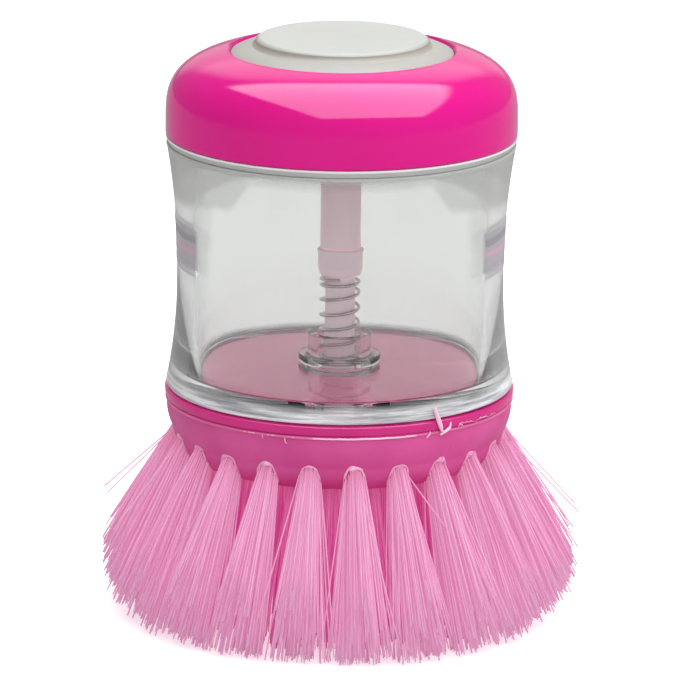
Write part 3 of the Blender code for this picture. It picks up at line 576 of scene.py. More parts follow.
def height_tint(low, high, colour, share):
    """A tint that grows between two heights in millimetres."""

    def tint(tree, base):
        height = node(tree, "SeparateXYZ", {0: object_place(tree)}).outputs[2]
        return colour_mix(tree, eased(tree, height, low * MM, high * MM, 0.0, share), base, colour)

    return tint


def specks(colour, scale, share):
    """Sparse dust specks, in six of a hundred cells."""

    def tint(tree, base):
        cells = node(tree, "TexVoronoi", {"Vector": object_place(tree), "Scale": scale})
        near = mapped(tree, cells.outputs["Distance"], 0.03, 0.07, 1.0, 0.0)
        chosen = node(tree, "SeparateColor", {0: cells.outputs["Color"]}).outputs[0]
        rare = mapped(tree, chosen, 0.94, 0.95, 0.0, share)
        return colour_mix(tree, times(tree, near, rare), base, colour)

    return tint


def band_mask(tree, value, low, high, soft):
    """1 between two values, and 0 outside them."""
    rise = eased(tree, value, low - soft, low + soft)
    return times(tree, rise, eased(tree, value, high - soft, high + soft, 1.0, 0.0))


def layered(tree, layers):
    """Layers of (share, colour) over each other, as one share and one colour; the last lies on top."""
    total, colour = layers[0]
    for share, painted_colour in layers[1:]:
        left = number(tree, "SUBTRACT", 1.0, share)
        cover = number(tree, "ADD", share, times(tree, total, left))
        weight = number(tree, "DIVIDE", share, number(tree, "MAXIMUM", cover, 0.001), clamp=True)
        colour = colour_mix(tree, weight, colour, painted_colour)
        total = cover
    return total, colour


# Painted light and shade on the clear wall, as a diffuse layer over it. It lies on the wall's outside
# alone, and shares are of its full cover.
WALL_INSIDE = RIM_RADIUS - 2.6
WALL_OUTSIDE = RIM_RADIUS - 2.2
# Grey at the wall's limbs, where it turns away, is painted shade.
LIMB_SHARE = 0.5
LIMB_SHADE_GREY = (176, 177, 176)
# Streaks at the foot are painted reflections of the surroundings in the thick foot.
FOOT_STREAKS_HIGH_Z = RESERVOIR_Z + 1.5
FOOT_STREAKS_END_Z = RESERVOIR_Z + 3.1
FOOT_REFLECTION_DARK = (176, 177, 181)
FOOT_REFLECTION_PALE = (234, 234, 238)
# A grey band under the shoulder is painted shade below the cap's edge.
EDGE_LOW_Z = SHOULDER_Z - 1.1
EDGE_HIGH_Z = SHOULDER_Z - 0.2
EDGE_SHARE = 0.95
SHOULDER_SHADE_GREY = (172, 174, 171)

# The grey of the wall's top is painted shade under the cap. It hangs lower towards the sides: distances
# from the middle plane, between which its lower limit goes down from one depth under the shoulder to
# another, and then by a last drop.
GREY_SHARE = 0.3
TOP_SHADE_GREY = (140, 142, 138)
GREY_TURNS = (13.0, 17.0, 25.0)
GREY_DEPTHS = (1.8, 6.5)
GREY_LAST_DROP = 1.8
GREY_SOFTNESS = 0.9

# The grip panels are painted grey: shade that the clear ribs would show.
GRIP_SHARE = 0.56
GRIP_REAR_SHARE = 0.12
GRIP_REAR_Y = 5.0
GRIP_EDGE = 0.1
GRIP_SOFTNESS = 0.12
GRIP_SIDE_SOFTNESS = 0.2
GRIP_UNEVEN = 0.15
GRIP_PAINTED_GREY = (158, 152, 160)

# Painted dark bars and a pink streak on the grips, standing in for the shade and the pink parts that the
# clear ribs show, from the foot up: height, half breadth, colour and share.
GRIP_BANDS = (
    (GRIP_MIDDLE_Z - 3.5, 0.12, (128, 124, 128), 0.8),
    (GRIP_MIDDLE_Z - 2.3, 0.7, (150, 142, 158), 0.8),
    (GRIP_MIDDLE_Z + 0.1, 0.4, (222, 138, 168), 0.6),
    (GRIP_MIDDLE_Z + 2.1, 0.6, (104, 100, 104), 0.75),
)
GRIP_BAND_SOFTNESS = 0.3


def wall_painted_light(tree):
    """Painted light and shade on the clear wall: painted reflections as streaks at its foot, painted shade
    on its shoulder, over its top and at its limbs, and painted shade and a pink streak on the ribbed panels
    that the fingers grip."""
    place = node(tree, "VectorMath", {0: object_place(tree), 3: 1.0 / MM}, operation="SCALE")
    along_x, along_y, height = node(tree, "SeparateXYZ", {0: place}).outputs
    across = number(tree, "ABSOLUTE", along_x)
    flat = node(tree, "CombineXYZ", {0: along_x, 1: along_y})
    radius = node(tree, "VectorMath", {0: flat}, operation="LENGTH").outputs[1]
    outside = eased(tree, radius, WALL_INSIDE, WALL_OUTSIDE)

    # Painted reflections: streaks at the foot.
    low = eased(tree, height, FOOT_STREAKS_HIGH_Z, FOOT_STREAKS_END_Z, 1.0, 0.0)
    streaks = noise(tree, stretched(tree, (0.35, 0.35, 6.0)), 420.0, 4.0, 0.7)
    foot_reflection = times(tree, mapped(tree, streaks, 0.34, 0.6, 0.5, 0.9), low)
    bands = noise(tree, stretched(tree, (0.25, 0.25, 5.0)), 300.0, 3.0, 0.6)
    foot_reflection_colour = colour_mix(tree, mapped(tree, bands, 0.38, 0.6), FOOT_REFLECTION_DARK, FOOT_REFLECTION_PALE)

    # Painted shade under the cap over the wall's top.
    near, far, end = GREY_TURNS
    depths = (SHOULDER_Z - depth for depth in GREY_DEPTHS)
    last_drop = eased(tree, across, far, end, 0.0, -GREY_LAST_DROP)
    limit = number(tree, "ADD", eased(tree, across, near, far, *depths), last_drop)
    above = number(tree, "SUBTRACT", height, limit)
    grey = eased(tree, above, -GREY_SOFTNESS, GREY_SOFTNESS, 0.0, GREY_SHARE)

    # Painted shade on the shoulder, and at the limbs.
    edge = eased(tree, height, EDGE_LOW_Z, EDGE_HIGH_Z, 0.0, EDGE_SHARE)
    facing = node(tree, "LayerWeight", {"Blend": 0.5}).outputs["Facing"]
    limb = eased(tree, facing, 0.36, 0.62, 0.0, LIMB_SHARE)

    # Painted shade and a pink streak on the grip panels.
    half = GRIP_HALF_HEIGHT - GRIP_EDGE
    reach = WAIST_RADIUS * math.cos(math.radians(GRIP_HALF_ANGLE - 0.5 * GRIP_FADE_ANGLE))
    panel = times(
        tree, band_mask(tree, height, GRIP_MIDDLE_Z - half, GRIP_MIDDLE_Z + half, GRIP_SOFTNESS),
        eased(tree, across, reach - GRIP_SIDE_SOFTNESS, reach + GRIP_SIDE_SOFTNESS, 0.0, GRIP_SHARE),
        eased(tree, along_y, -GRIP_REAR_Y, GRIP_REAR_Y, 1.0, GRIP_REAR_SHARE)
    )
    patches = noise(tree, stretched(tree, (0.5, 0.5, 1.6)), 260.0, 2.0, 0.5)
    uneven = number(tree, "ADD", height, mapped(tree, patches, 0.35, 0.65, -GRIP_UNEVEN, GRIP_UNEVEN))
    grip_painted_colour = GRIP_PAINTED_GREY
    for middle, breadth, colour, strength in GRIP_BANDS:
        band = band_mask(tree, uneven, middle - breadth, middle + breadth, GRIP_BAND_SOFTNESS)
        grip_painted_colour = colour_mix(tree, times(tree, band, strength), grip_painted_colour, colour)

    layers = [(limb, LIMB_SHADE_GREY), (grey, TOP_SHADE_GREY), (panel, grip_painted_colour), (edge, SHOULDER_SHADE_GREY), (foot_reflection, foot_reflection_colour)]
    share, painted_colour = layered(tree, layers)
    return times(tree, share, outside), painted_colour


def steel():
    """Drawn spring wire."""
    material, tree = new_material("spring_steel_wire")
    drawn = noise(tree, stretched(tree, (1.0, 1.0, 4.0)), 1800.0, 4.0)
    tone = noise(tree, stretched(tree, (1.0, 1.0, 1.0)), 350.0, 2.0)
    colour = colour_mix(tree, tone, (172, 168, 170), (226, 223, 223))
    inputs = {"Base Color": colour, "Metallic": 1.0, "Normal": bumped(tree, drawn, 0.25, DRAWN_DEPTH)}
    inputs["Roughness"] = mapped(tree, drawn, 0.3, 0.7, 0.16, 0.3)
    return surfaced(material, node(tree, "BsdfPrincipled", inputs))


def soft_white(name, first, second):
    """The button's soft plastic."""
    return plastic(name, first, second, (0.38, 0.5), 1500.0, 0.2, drift=45.0)


def painted_glow(colour, strength):
    """Sockets for a painted glow: emission that stands in for light that reaches a pale part inside the
    clear reservoir.
    """
    return {"Emission Color": colour, "Emission Strength": strength}


# Name, two near colours, roughness from and to, grain as a scale, relief

CAP_LOOK = plastic(
    "cap_gloss_magenta", (209, 12, 126), (212, 15, 131), (0.07, 0.11), 260.0, 0.06,
    tint=specks((255, 190, 226), 210.0, 0.7), drift=40.0, sockets={"IOR": 1.42}
)
COLLAR_LOOK = plastic(
    "band_gloss_magenta", (198, 34, 121), (205, 42, 129), (0.1, 0.2), 420.0, 0.12, drift=70.0
)
# The plateau's paler pink and its glow are painted light: they stand in for the light and the reflection
# that it shows through the clear floor, where the cap keeps it in shade.
BASE_LOOK = plastic(
    "base_matt_pink", (202, 63, 137), (210, 75, 148), (0.42, 0.55), 1300.0, 0.35,
    tint=height_tint(BASE_TOP_Z + 1.2, PLATEAU_Z, (246, 128, 176), 0.95), drift=90.0,
    glow=(PLATEAU_Z - 0.9, PLATEAU_Z, 0.45)
)
# The tuft lips' pale pink is a painted highlight on the lips.
RIM_LOOK = plastic("tuft_lip_pink_painted_highlight", (230, 146, 188), (242, 194, 218), (0.3, 0.45), 900.0, 0.3)
SEAM_LOOK = plastic("seam_pink", (214, 92, 150), (220, 116, 166), (0.4, 0.5), 900.0, 0.3)
FLASH_LOOK = plastic("flash_pale_pink", (232, 172, 202), (240, 214, 228), (0.3, 0.45), 900.0, 0.3)
BUTTON_LOOK = soft_white("button_soft_white", (177, 178, 172), (181, 181, 175))
# The groove's skin is painted a darker beige than the pad: painted shade in the groove round the pad.
SKIN_LOOK = soft_white("membrane_white_painted_groove_shade", (162, 158, 148), (170, 166, 158))
FLANGE_LOOK = soft_white("flange_soft_white", (160, 157, 150), (165, 162, 156))
# The seal ring's grey is painted shade that matches the shaded glass under the cap, and its pale top strip
# is a painted highlight.
GASKET_LOOK = plastic(
    "gasket_pale", (172, 174, 171), (180, 182, 179), (0.4, 0.55), 900.0, 0.2,
    tint=height_tint(CAP_Z - 0.38, CAP_Z - 0.3, (224, 218, 221), 1.0)
)
CLEAR_LOOK = clear_plastic("reservoir_clear", (227, 228, 227), (0.0, 0.06), 0.05, painted_layer=wall_painted_light)
SEAT_LOOK = clear_plastic("seat_clear", (250, 244, 246), (0.02, 0.1), 0.1, ior=1.36)
# The stem and the rod glow: painted light inside the clear reservoir.
STEM_LOOK = plastic(
    "stem_pale", (244, 220, 227), (250, 229, 234), (0.3, 0.42), 700.0, 0.15,
    sockets=painted_glow((240, 205, 216), 0.2)
)
ROD_LOOK = plastic(
    "rod_pale", (234, 216, 223), (242, 227, 233), (0.3, 0.45), 700.0, 0.15,
    sockets=painted_glow((232, 205, 216), 0.22)
)
SEAL_LOOK = plastic("seal_rubber", (206, 202, 200), (216, 212, 210), (0.55, 0.7), 1200.0, 0.3)
OUTLET_LOOK = plastic("outlet_rubber", (198, 194, 194), (210, 206, 206), (0.55, 0.7), 1200.0, 0.3)
SPRING_LOOK = steel()
BRISTLE_LOOK = bristle_material()


# Reservoir and cap


def wall_radius(height):
    """Outer radius of the waisted wall at a height above its foot."""
    reach = BODY_HEIGHT - WAIST_HEIGHT if height > WAIST_HEIGHT else WAIST_HEIGHT
    return WAIST_RADIUS + (RIM_RADIUS - WAIST_RADIUS) * (abs(height - WAIST_HEIGHT) / reach) ** FLARE_POWER


def grip_relief(height, angle):
    """How far the finger grips stand proud of the wall."""
    from_side = math.degrees(math.asin(abs(math.sin(angle))))
    across = smooth_step(from_side, GRIP_HALF_ANGLE, GRIP_HALF_ANGLE - GRIP_FADE_ANGLE)
    place = (height - GRIP_MIDDLE_Z) / GRIP_PITCH + 0.5 * GRIP_COUNT
    if not 0.0 < place < GRIP_COUNT:
        return 0.0
    ends = smooth_step(place, 0.0, GRIP_END_SHARE) * smooth_step(GRIP_COUNT - place, 0.0, GRIP_END_SHARE)
    rib = math.sin(math.pi * (place % 1.0))
    return GRIP_PROUD * across * ends * (1.0 - GRIP_DIP_SHARE + GRIP_DIP_SHARE * rib)


def thread_relief(height, angle, start, low, high):
    """Share of the thread's depth at a place: a rounded ridge that fades out at both ends."""
    place = (height - start - THREAD_PITCH * angle / FULL_TURN) % THREAD_PITCH
    place = min(place, THREAD_PITCH - place) / (0.5 * THREAD_WIDTH)
    ends = smooth_step(height, low, low + THREAD_RUNOUT) * smooth_step(height, high, high - THREAD_RUNOUT)
    return max(0.0, 1.0 - place * place) * ends


def reservoir_shape(radius, height, angle):
    """The neck's thread and the wall's grips; the inside stays round."""
    if radius < WAIST_RADIUS - 0.2 and height < SHOULDER_Z:
        return radius
    if height > SHOULDER_Z + 0.01:
        if radius < NECK_RADIUS - 0.01:
            return radius
        ridge = thread_relief(height, angle, SHOULDER_Z, SHOULDER_Z + 1.2, NECK_TOP_Z - 0.7)
        return radius + THREAD_DEPTH * ridge
    return radius + grip_relief(height, angle)


def make_reservoir():
    edge = 0.4
    nick = 0.2
    neck_fillet = 0.3
    rim_edge = 0.35
    floor_z = RESERVOIR_Z + FLOOR_THICKNESS
    fillet_z = floor_z + INNER_FILLET
    grip_foot = GRIP_MIDDLE_Z - RESERVOIR_Z - GRIP_HALF_HEIGHT
    grip_top = grip_foot + 2.0 * GRIP_HALF_HEIGHT
    heights = np.concatenate([
        np.linspace(BODY_HEIGHT - 0.5, grip_top, 18)[:-1],
        np.linspace(grip_top, grip_foot, 53)[:-1],
        np.linspace(grip_foot, 0.45, 30),
    ])
    outline = [
        *arc(NECK_RADIUS - edge, NECK_TOP_Z - edge, edge, 90.0, 0.0, 4),
        *stretch((NECK_RADIUS, NECK_TOP_Z - edge), (NECK_RADIUS, SHOULDER_Z), 32),
        *arc(NECK_RADIUS + neck_fillet, SHOULDER_Z + neck_fillet, neck_fillet, 180.0, 270.0, 3),
        *arc(RIM_RADIUS - rim_edge, SHOULDER_Z - rim_edge, rim_edge, 90.0, 10.0, 4),
        *((wall_radius(height), RESERVOIR_Z + height) for height in heights),
        *arc(RIM_RADIUS - 0.5, RESERVOIR_Z + edge, edge, -5.0, -90.0, 4),
        *softened([
            (FLOOR_MIDDLE_RADIUS, RESERVOIR_Z, 0.0), (FLOOR_HOLE_RADIUS, RESERVOIR_Z, nick),
            (FLOOR_HOLE_RADIUS, floor_z, nick), (FLOOR_MIDDLE_RADIUS, floor_z, 0.0),
        ], 1),
        *arc(INNER_FOOT_RADIUS - INNER_FILLET, fillet_z, INNER_FILLET, -90.0, 0.0, 8),
        *stretch((INNER_FOOT_RADIUS, fillet_z), (NECK_BORE, NECK_TOP_Z - edge), 14),
        (NECK_BORE, NECK_TOP_Z - edge), (NECK_BORE + edge, NECK_TOP_Z),
    ]
    add_turned(
        "reservoir_wall", outline, "reservoir", CLEAR_LOOK, "reservoir_clear", "reservoir", FINE_STEPS,
        shape=reservoir_shape
    )


def dome(radius, foot, rise, top_share, count):
    """Points of a rounded-square dome from near its top down to its upright foot."""
    points = []
    start = math.asin(top_share ** (0.5 * DOME_POWER))
    for index in range(count + 1):
        angle = start * (1.0 - index / count)
        across = math.cos(angle) ** (2.0 / DOME_POWER)
        points.append((radius * across, foot + rise * math.sin(angle) ** (2.0 / DOME_POWER)))
    return points


def cap_shape(radius, height, angle):
    """The cap's inner thread lies half a pitch from the neck's, so that the two mesh."""
    if abs(radius - CAP_BORE) > 0.01:
        return radius
    start = SHOULDER_Z + 0.5 * THREAD_PITCH
    return radius - THREAD_DEPTH * thread_relief(height, angle, start, CAP_Z + 0.6, NECK_TOP_Z - 0.2)


def make_cap():
    edge = 0.4
    nick = 0.3
    foot = CAP_Z + CAP_SKIRT
    crown = dome(CAP_RADIUS, foot, DOME_RISE, (CAP_TOP_Z - foot) / DOME_RISE, 46)
    bore_top = NECK_TOP_Z + 0.3
    inner_rise = foot + DOME_RISE - DOME_WALL - bore_top
    ledge_low = LEDGE_Z - LEDGE_THICKNESS
    inner = dome(CAP_BORE, bore_top, inner_rise, (ledge_low - bore_top) / inner_rise, 16)
    outline = [
        (RECESS_RADIUS, CAP_TOP_Z - MOUTH_DROP), (RECESS_RADIUS + 0.09, CAP_TOP_Z - 0.26),
        (RECESS_RADIUS + 0.3, CAP_TOP_Z - 0.09), (crown[0][0] + 0.3, CAP_TOP_Z - 0.02),
        *crown[1:],
        (CAP_RADIUS, CAP_Z + 1.6), (CAP_RADIUS, CAP_Z + 0.9),
        *arc(CAP_RADIUS - edge, CAP_Z + edge, edge, 0.0, -90.0, 4),
        (CAP_BORE + nick, CAP_Z), (CAP_BORE, CAP_Z + nick),
        *stretch((CAP_BORE, CAP_Z + nick), (CAP_BORE, bore_top), 26),
        *inner[::-1],
        (CAP_MOUTH_RADIUS + nick, ledge_low), (CAP_MOUTH_RADIUS, ledge_low + nick),
        (CAP_MOUTH_RADIUS, LEDGE_Z - nick), (CAP_MOUTH_RADIUS + nick, LEDGE_Z),
        (RECESS_RADIUS - 0.2, LEDGE_Z), (RECESS_RADIUS, LEDGE_Z + 0.2),
        (RECESS_RADIUS, CAP_TOP_Z - MOUTH_DROP - 0.2),
    ]
    add_turned(
        "cap_dome", outline, "cap", CAP_LOOK, "cap_magenta", "cap_shell", FINE_STEPS, shape=cap_shape
    )

    gap = 0.04
    bore = NECK_RADIUS + 0.45
    outline = softened([
        (CAP_RADIUS - 0.03, CAP_Z - gap, 0.05), (CAP_RADIUS - 0.05, CAP_Z - 0.4, 0.05),
        (RIM_RADIUS - 0.3, SHOULDER_Z + gap, 0.05), (bore, SHOULDER_Z + gap, 0.1), (bore, CAP_Z - gap, 0.1),
    ])
    add_turned("cap_seal_ring", outline, "gasket", GASKET_LOOK, "gasket_pale", "cap_gasket")


# Button


def make_button():
    """Pad and flange are one soft skin on the real cap: a ring that bends joins the two."""
    nick = 0.15
    inner_nick = 0.3
    edge_z = PAD_TOP_Z - PAD_CROWN
    lip = PAD_LIP_TOP_Z
    lip_foot = lip - PAD_LIP_THICKNESS
    bore = PAD_RADIUS - PAD_WALL
    boss = SOCKET_BORE + SOCKET_WALL
    outline = [
        *((radius, PAD_TOP_Z - drop) for radius, drop in PAD_TOP),
        *arc(PAD_RADIUS - PAD_EDGE, edge_z - PAD_EDGE, PAD_EDGE, 88.0, 0.0, 9),
        (PAD_RADIUS, lip + nick),
        *softened([
            (PAD_RADIUS + 0.1, lip, 0.0), (PAD_LIP_RADIUS, lip, nick), (PAD_LIP_RADIUS, lip_foot, nick),
            (bore, lip_foot, nick), (bore, PAD_CEILING_Z, inner_nick), (boss, PAD_CEILING_Z, inner_nick),
            (boss, PAD_FOOT_Z, nick), (SOCKET_BORE, PAD_FOOT_Z, nick), (SOCKET_BORE, PAD_CEILING_Z, 0.0),
        ], 1),
        (0.0, PAD_CEILING_Z),
    ]
    add_turned("button_pad", outline, "button", BUTTON_LOOK, "button_white", "push_button", closed=False)

    outer = RECESS_RADIUS - 0.03
    brim_z = MEMBRANE_Z + 0.42
    fall = (MEMBRANE_TOP_Z - brim_z) * FLANGE_SLOPE
    breadth = outer - 0.45 - MEMBRANE_BORE
    outline = [
        (MEMBRANE_BORE, MEMBRANE_TOP_Z - 0.1), (MEMBRANE_BORE + 0.1, MEMBRANE_TOP_Z - 0.02),
        *(
            (MEMBRANE_BORE + breadth * share, MEMBRANE_TOP_Z - fall * share**1.5)
            for share in FLANGE_SHARES
        ),
        *arc(outer - 0.4, MEMBRANE_Z, 0.4, 80.0, -90.0, 8),
        (outer - 0.6, MEMBRANE_Z), (MEMBRANE_BORE + nick, MEMBRANE_Z), (MEMBRANE_BORE, MEMBRANE_Z + nick),
    ]
    add_turned("button_flange", outline, "cap", FLANGE_LOOK, "membrane_white", "button_membrane")

    low = MEMBRANE_TOP_Z - 0.38
    high = PAD_TOP_Z - 0.55
    outside = PAD_RADIUS + 0.02
    inside = PAD_RADIUS - 0.12
    outline = []
    for angle in np.linspace(0.0, 0.5 * math.pi, 13):
        out = SKIN_WIDTH * (1.0 - math.sin(angle))
        outline.append((outside + out, low + (high - low) * (1.0 - math.cos(angle))))
    outline += [(inside, high - 0.2), (inside, low - 0.05)]
    mesh = lathe("button_skin", outline)
    skin = add_piece("button_skin", mesh, None, SKIN_LOOK)
    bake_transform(skin)


# Stem, rod, spring, seat and seal


def make_valve():
    outline = softened([
        (STEM_RADIUS, STEM_TOP_Z, 0.2), (STEM_RADIUS, STEM_FOOT_Z, 0.15), (SPIGOT_RADIUS, STEM_FOOT_Z, 0.0),
        (SPIGOT_RADIUS, SPIGOT_Z, 0.2), (STEM_BORE, SPIGOT_Z, 0.1), (STEM_BORE, STEM_TOP_Z, 0.1),
    ])
    outline = filled(outline, 1.5)
    add_turned("stem_tube", outline, "button", STEM_LOOK, "stem_plastic", "button_stem", SMALL_STEPS)

    nick = 0.15
    edge = 0.2
    collar = STEM_COLLAR_RADIUS
    foot = STEM_COLLAR_FOOT_Z
    rod_end = SEAL_TOP_Z + 0.3
    head_top = SEAL_Z - 0.3
    socket_foot = COLLAR_TOP_Z - SOCKET_DEPTH - edge
    outline = [
        (0.0, socket_foot), (SOCKET_RADIUS - edge, socket_foot), (SOCKET_RADIUS, socket_foot + edge),
        (SOCKET_RADIUS, COLLAR_TOP_Z - nick), (SOCKET_RADIUS + nick, COLLAR_TOP_Z),
        *arc(collar - edge, COLLAR_TOP_Z - edge, edge, 90.0, 0.0, 3),
        (collar - 0.14, COLLAR_TOP_Z - 0.75), (collar - 0.12, foot + 1.3), (collar - 0.2, foot + 1.05),
        (3.15, foot + 0.1), (3.05, foot), (ROD_RADIUS + nick, foot), (ROD_RADIUS, foot - nick),
        (ROD_RADIUS, rod_end + 0.1), (ROD_RADIUS - 0.1, rod_end), (TAIL_RADIUS, rod_end),
        (TAIL_RADIUS, head_top), (TAIL_HEAD_RADIUS, head_top), (TAIL_RADIUS, TAIL_Z), (0.0, TAIL_Z),
    ]
    add_turned(
        "valve_rod", outline, "valve", ROD_LOOK, "rod_plastic", "valve_stem", SMALL_STEPS, closed=False
    )

    outline = softened([
        (SEAL_RADIUS - 0.8, SEAL_TOP_Z, 0.1), (SEAL_RADIUS, SEAL_TOP_Z - 0.8, 0.15),
        (SEAL_RADIUS, SEAL_Z, 0.2), (SEAL_BORE, SEAL_Z, 0.1), (SEAL_BORE, SEAL_TOP_Z, 0.1),
    ])
    add_turned("seal_disc", outline, "valve", SEAL_LOOK, "seal_rubber", "valve_seal", SMALL_STEPS)

    outline = softened([
        (SEAT_TUBE_RADIUS, SEAT_TOP_Z, 0.25), (SEAT_TUBE_RADIUS, SEAT_FLANGE_TOP_Z, 0.3),
        (SEAT_FLANGE_RADIUS, SEAT_FLANGE_TOP_Z, 0.3), (SEAT_FLANGE_RADIUS, SEAT_FOOT_Z, 0.15),
        (SEAT_TUBE_RADIUS, SEAT_FOOT_Z, 0.1), (SEAT_TUBE_RADIUS, SEAT_LIP_Z, 0.2),
        (ROD_HOLE_RADIUS, SEAT_LIP_Z, 0.15), (ROD_HOLE_RADIUS, SPRING_FOOT_Z, 0.1),
        (SEAT_BORE, SPRING_FOOT_Z, 0.1), (SEAT_BORE, SEAT_TOP_Z, 0.2),
    ])
    add_turned("valve_bush", outline, "reservoir", SEAT_LOOK, "seat_clear", "valve_seat", 96)

    outline = softened([
        (radius, height, 0.2) for radius, height in (
            (OUTLET_GASKET_RADIUS, OUTLET_GASKET_TOP_Z), (OUTLET_GASKET_RADIUS, OUTLET_GASKET_Z),
            (FLOOR_HOLE_RADIUS, OUTLET_GASKET_Z), (FLOOR_HOLE_RADIUS, OUTLET_GASKET_TOP_Z),
        )
    ])
    add_turned(
        "outlet_ring", outline, "reservoir", OUTLET_LOOK, "outlet_rubber", "outlet_gasket", SMALL_STEPS
    )


def make_spring():
    """Wire with closed turns at both ends."""
    low = SPRING_FOOT_Z + WIRE_RADIUS
    high = SPRING_TOP_Z - WIRE_RADIUS
    open_turns = SPRING_TURNS - CLOSE_BELOW - CLOSE_ABOVE
    open_pitch = (high - low - CLOSE_PITCH * (CLOSE_BELOW + CLOSE_ABOVE)) / open_turns
    per_turn = 48
    points = []
    for turn in np.linspace(0.0, SPRING_TURNS, round(SPRING_TURNS * per_turn) + 1):
        below = min(turn, CLOSE_BELOW)
        above = max(turn - CLOSE_BELOW - open_turns, 0.0)
        height = low + CLOSE_PITCH * (below + above) + open_pitch * (turn - below - above)
        angle = FULL_TURN * turn
        points.append((SPRING_RADIUS * math.cos(angle), SPRING_RADIUS * math.sin(angle), height))
    mesh = tube("spring_wire", points, WIRE_RADIUS, 12)
    spring = add_piece("spring_wire", mesh, "reservoir", SPRING_LOOK, ["return_spring"])
    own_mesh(spring)


# Base


def underside_z(radius):
    """Height of the base's rounded underside."""
    across = max(0.0, radius - (WALL_RADIUS - CORNER_RADIUS))
    return CORNER_Z - math.sqrt(CORNER_RADIUS**2 - across**2)


def bowl_wall(height):
    """Radius of the bowl's outside between its rounded corner and its rim."""
    share = min(1.0, (height - CORNER_Z) / (RIM_Z - CORNER_Z))
    return WALL_RADIUS + (BASE_RADIUS - WALL_RADIUS) * (1.0 - (1.0 - share) ** SWELL_POWER)


def collar_shape(radius, height, angle):
    """The flash line that moulding leaves round the collar's foot is uneven."""
    if height > COLLAR_Z + 0.32 or radius < COLLAR_RADIUS - 1.0:
        return radius
    return radius + max(0.0, ripple(angle, 5, (3, 7, 13, 29), 0.16))


def make_base():
    edge = 0.15
    nick = 0.2
    clearance = 0.3
    groove = OUTLET_GASKET_Z - clearance
    groove_radius = OUTLET_GASKET_RADIUS + clearance
    outline = [
        (PLATEAU_RADIUS - nick, PLATEAU_Z), (PLATEAU_RADIUS, PLATEAU_Z - nick),
        (PLATEAU_RADIUS, BASE_TOP_Z + edge), (PLATEAU_RADIUS + edge, BASE_TOP_Z),
        *arc(BASE_RADIUS - edge, BASE_TOP_Z - edge, edge, 90.0, 0.0, 3),
        *arc(BASE_RADIUS - edge, RIM_Z + edge, edge, 0.0, -12.0, 2),
        *((bowl_wall(height), height) for height in np.linspace(RIM_Z, CORNER_Z, 11)[1:-1]),
        *arc(WALL_RADIUS - CORNER_RADIUS, CORNER_Z, CORNER_RADIUS, 0.0, -90.0, 16),
        (UNDERSIDE_RADIUS, BASE_Z),
        (OUTLET_RADIUS + clearance, BASE_Z), (OUTLET_RADIUS, BASE_Z + clearance),
        (OUTLET_RADIUS, CHAMBER_Z), (FLOOR_HOLE_RADIUS, CHAMBER_Z),
        (FLOOR_HOLE_RADIUS, groove), (groove_radius, groove),
        (groove_radius, PLATEAU_Z - 0.1), (groove_radius + 0.1, PLATEAU_Z),
    ]
    add_turned("brush_bowl", outline, "reservoir", BASE_LOOK, "base_pink", "brush_base")

    bore = PLATEAU_RADIUS + clearance
    rim_edge = 0.3
    nick = 0.1
    outline = [
        *arc(COLLAR_RADIUS - rim_edge, COLLAR_RIM_Z - rim_edge, rim_edge, 90.0, 0.0, 5),
        (COLLAR_RADIUS - 0.02, COLLAR_Z + 0.75), (COLLAR_RADIUS - 0.12, COLLAR_Z + 0.34),
        *arc(BASE_RADIUS - 0.12, COLLAR_Z + 0.14, 0.14, 60.0, -90.0, 5),
        (bore + nick, COLLAR_Z), (bore, COLLAR_Z + nick),
        (bore, COLLAR_RIM_Z - nick), (bore + nick, COLLAR_RIM_Z),
    ]
    add_turned(
        "collar_band", outline, "reservoir", COLLAR_LOOK, "band_magenta", "base_collar", 320,
        shape=collar_shape
    )
    make_flash()


# Places on the band and round the bowl are given by their turn in degrees from the front towards +X.


def front_spot(degrees, radius, height):
    """A place by its turn from the front, its radius and its height."""
    turn = math.radians(degrees - 90.0)
    return radius * math.cos(turn), radius * math.sin(turn), height


# Fins of flash under the band: their ends, how far they stand out and up and how much they wave, their
# thickness on the left and on the right of the front, and how uneven that is.
FINS = (
    (-40.0, 28.0, 0.16, 0.0, 0.1, 0.045, 0.12, 0.05),
    (44.0, 63.0, 0.26, 0.6, 0.5, 0.0, 0.0, 0.27),
)
LEAST_FLASH = 0.02
FINS_GROW = (-14.0, 6.0)
FIN_START = 8.0
FIN_END = 4.0

# Burrs on the band, each as the places it passes (turn from the front, radius, height) and its thickness.
BURRS = (
    (((32.6, 26.75, 36.6), (33.4, 26.95, 35.2), (34.8, 26.95, 33.5), (35.6, 26.8, 32.7)), 0.36),
    (((34.9, 26.7, 32.3), (36.8, 26.9, 32.8), (38.4, 26.9, 33.2), (39.0, 26.8, 34.0)), 0.24),
    (((29.6, 26.7, 32.2), (30.6, 26.8, 32.6), (30.9, 26.8, 33.1)), 0.13),
    (((42.2, 26.6, 33.7), (44.8, 26.7, 32.9)), 0.07),
    (((45.0, 26.6, 33.8), (42.4, 26.7, 33.0)), 0.07),
    (((-17.6, 26.6, 32.5), (-17.3, 26.7, 31.9), (-17.0, 26.4, 31.6)), 0.09),
    (((-25.5, 26.6, 32.6), (-25.2, 26.6, 32.1)), 0.07),
)


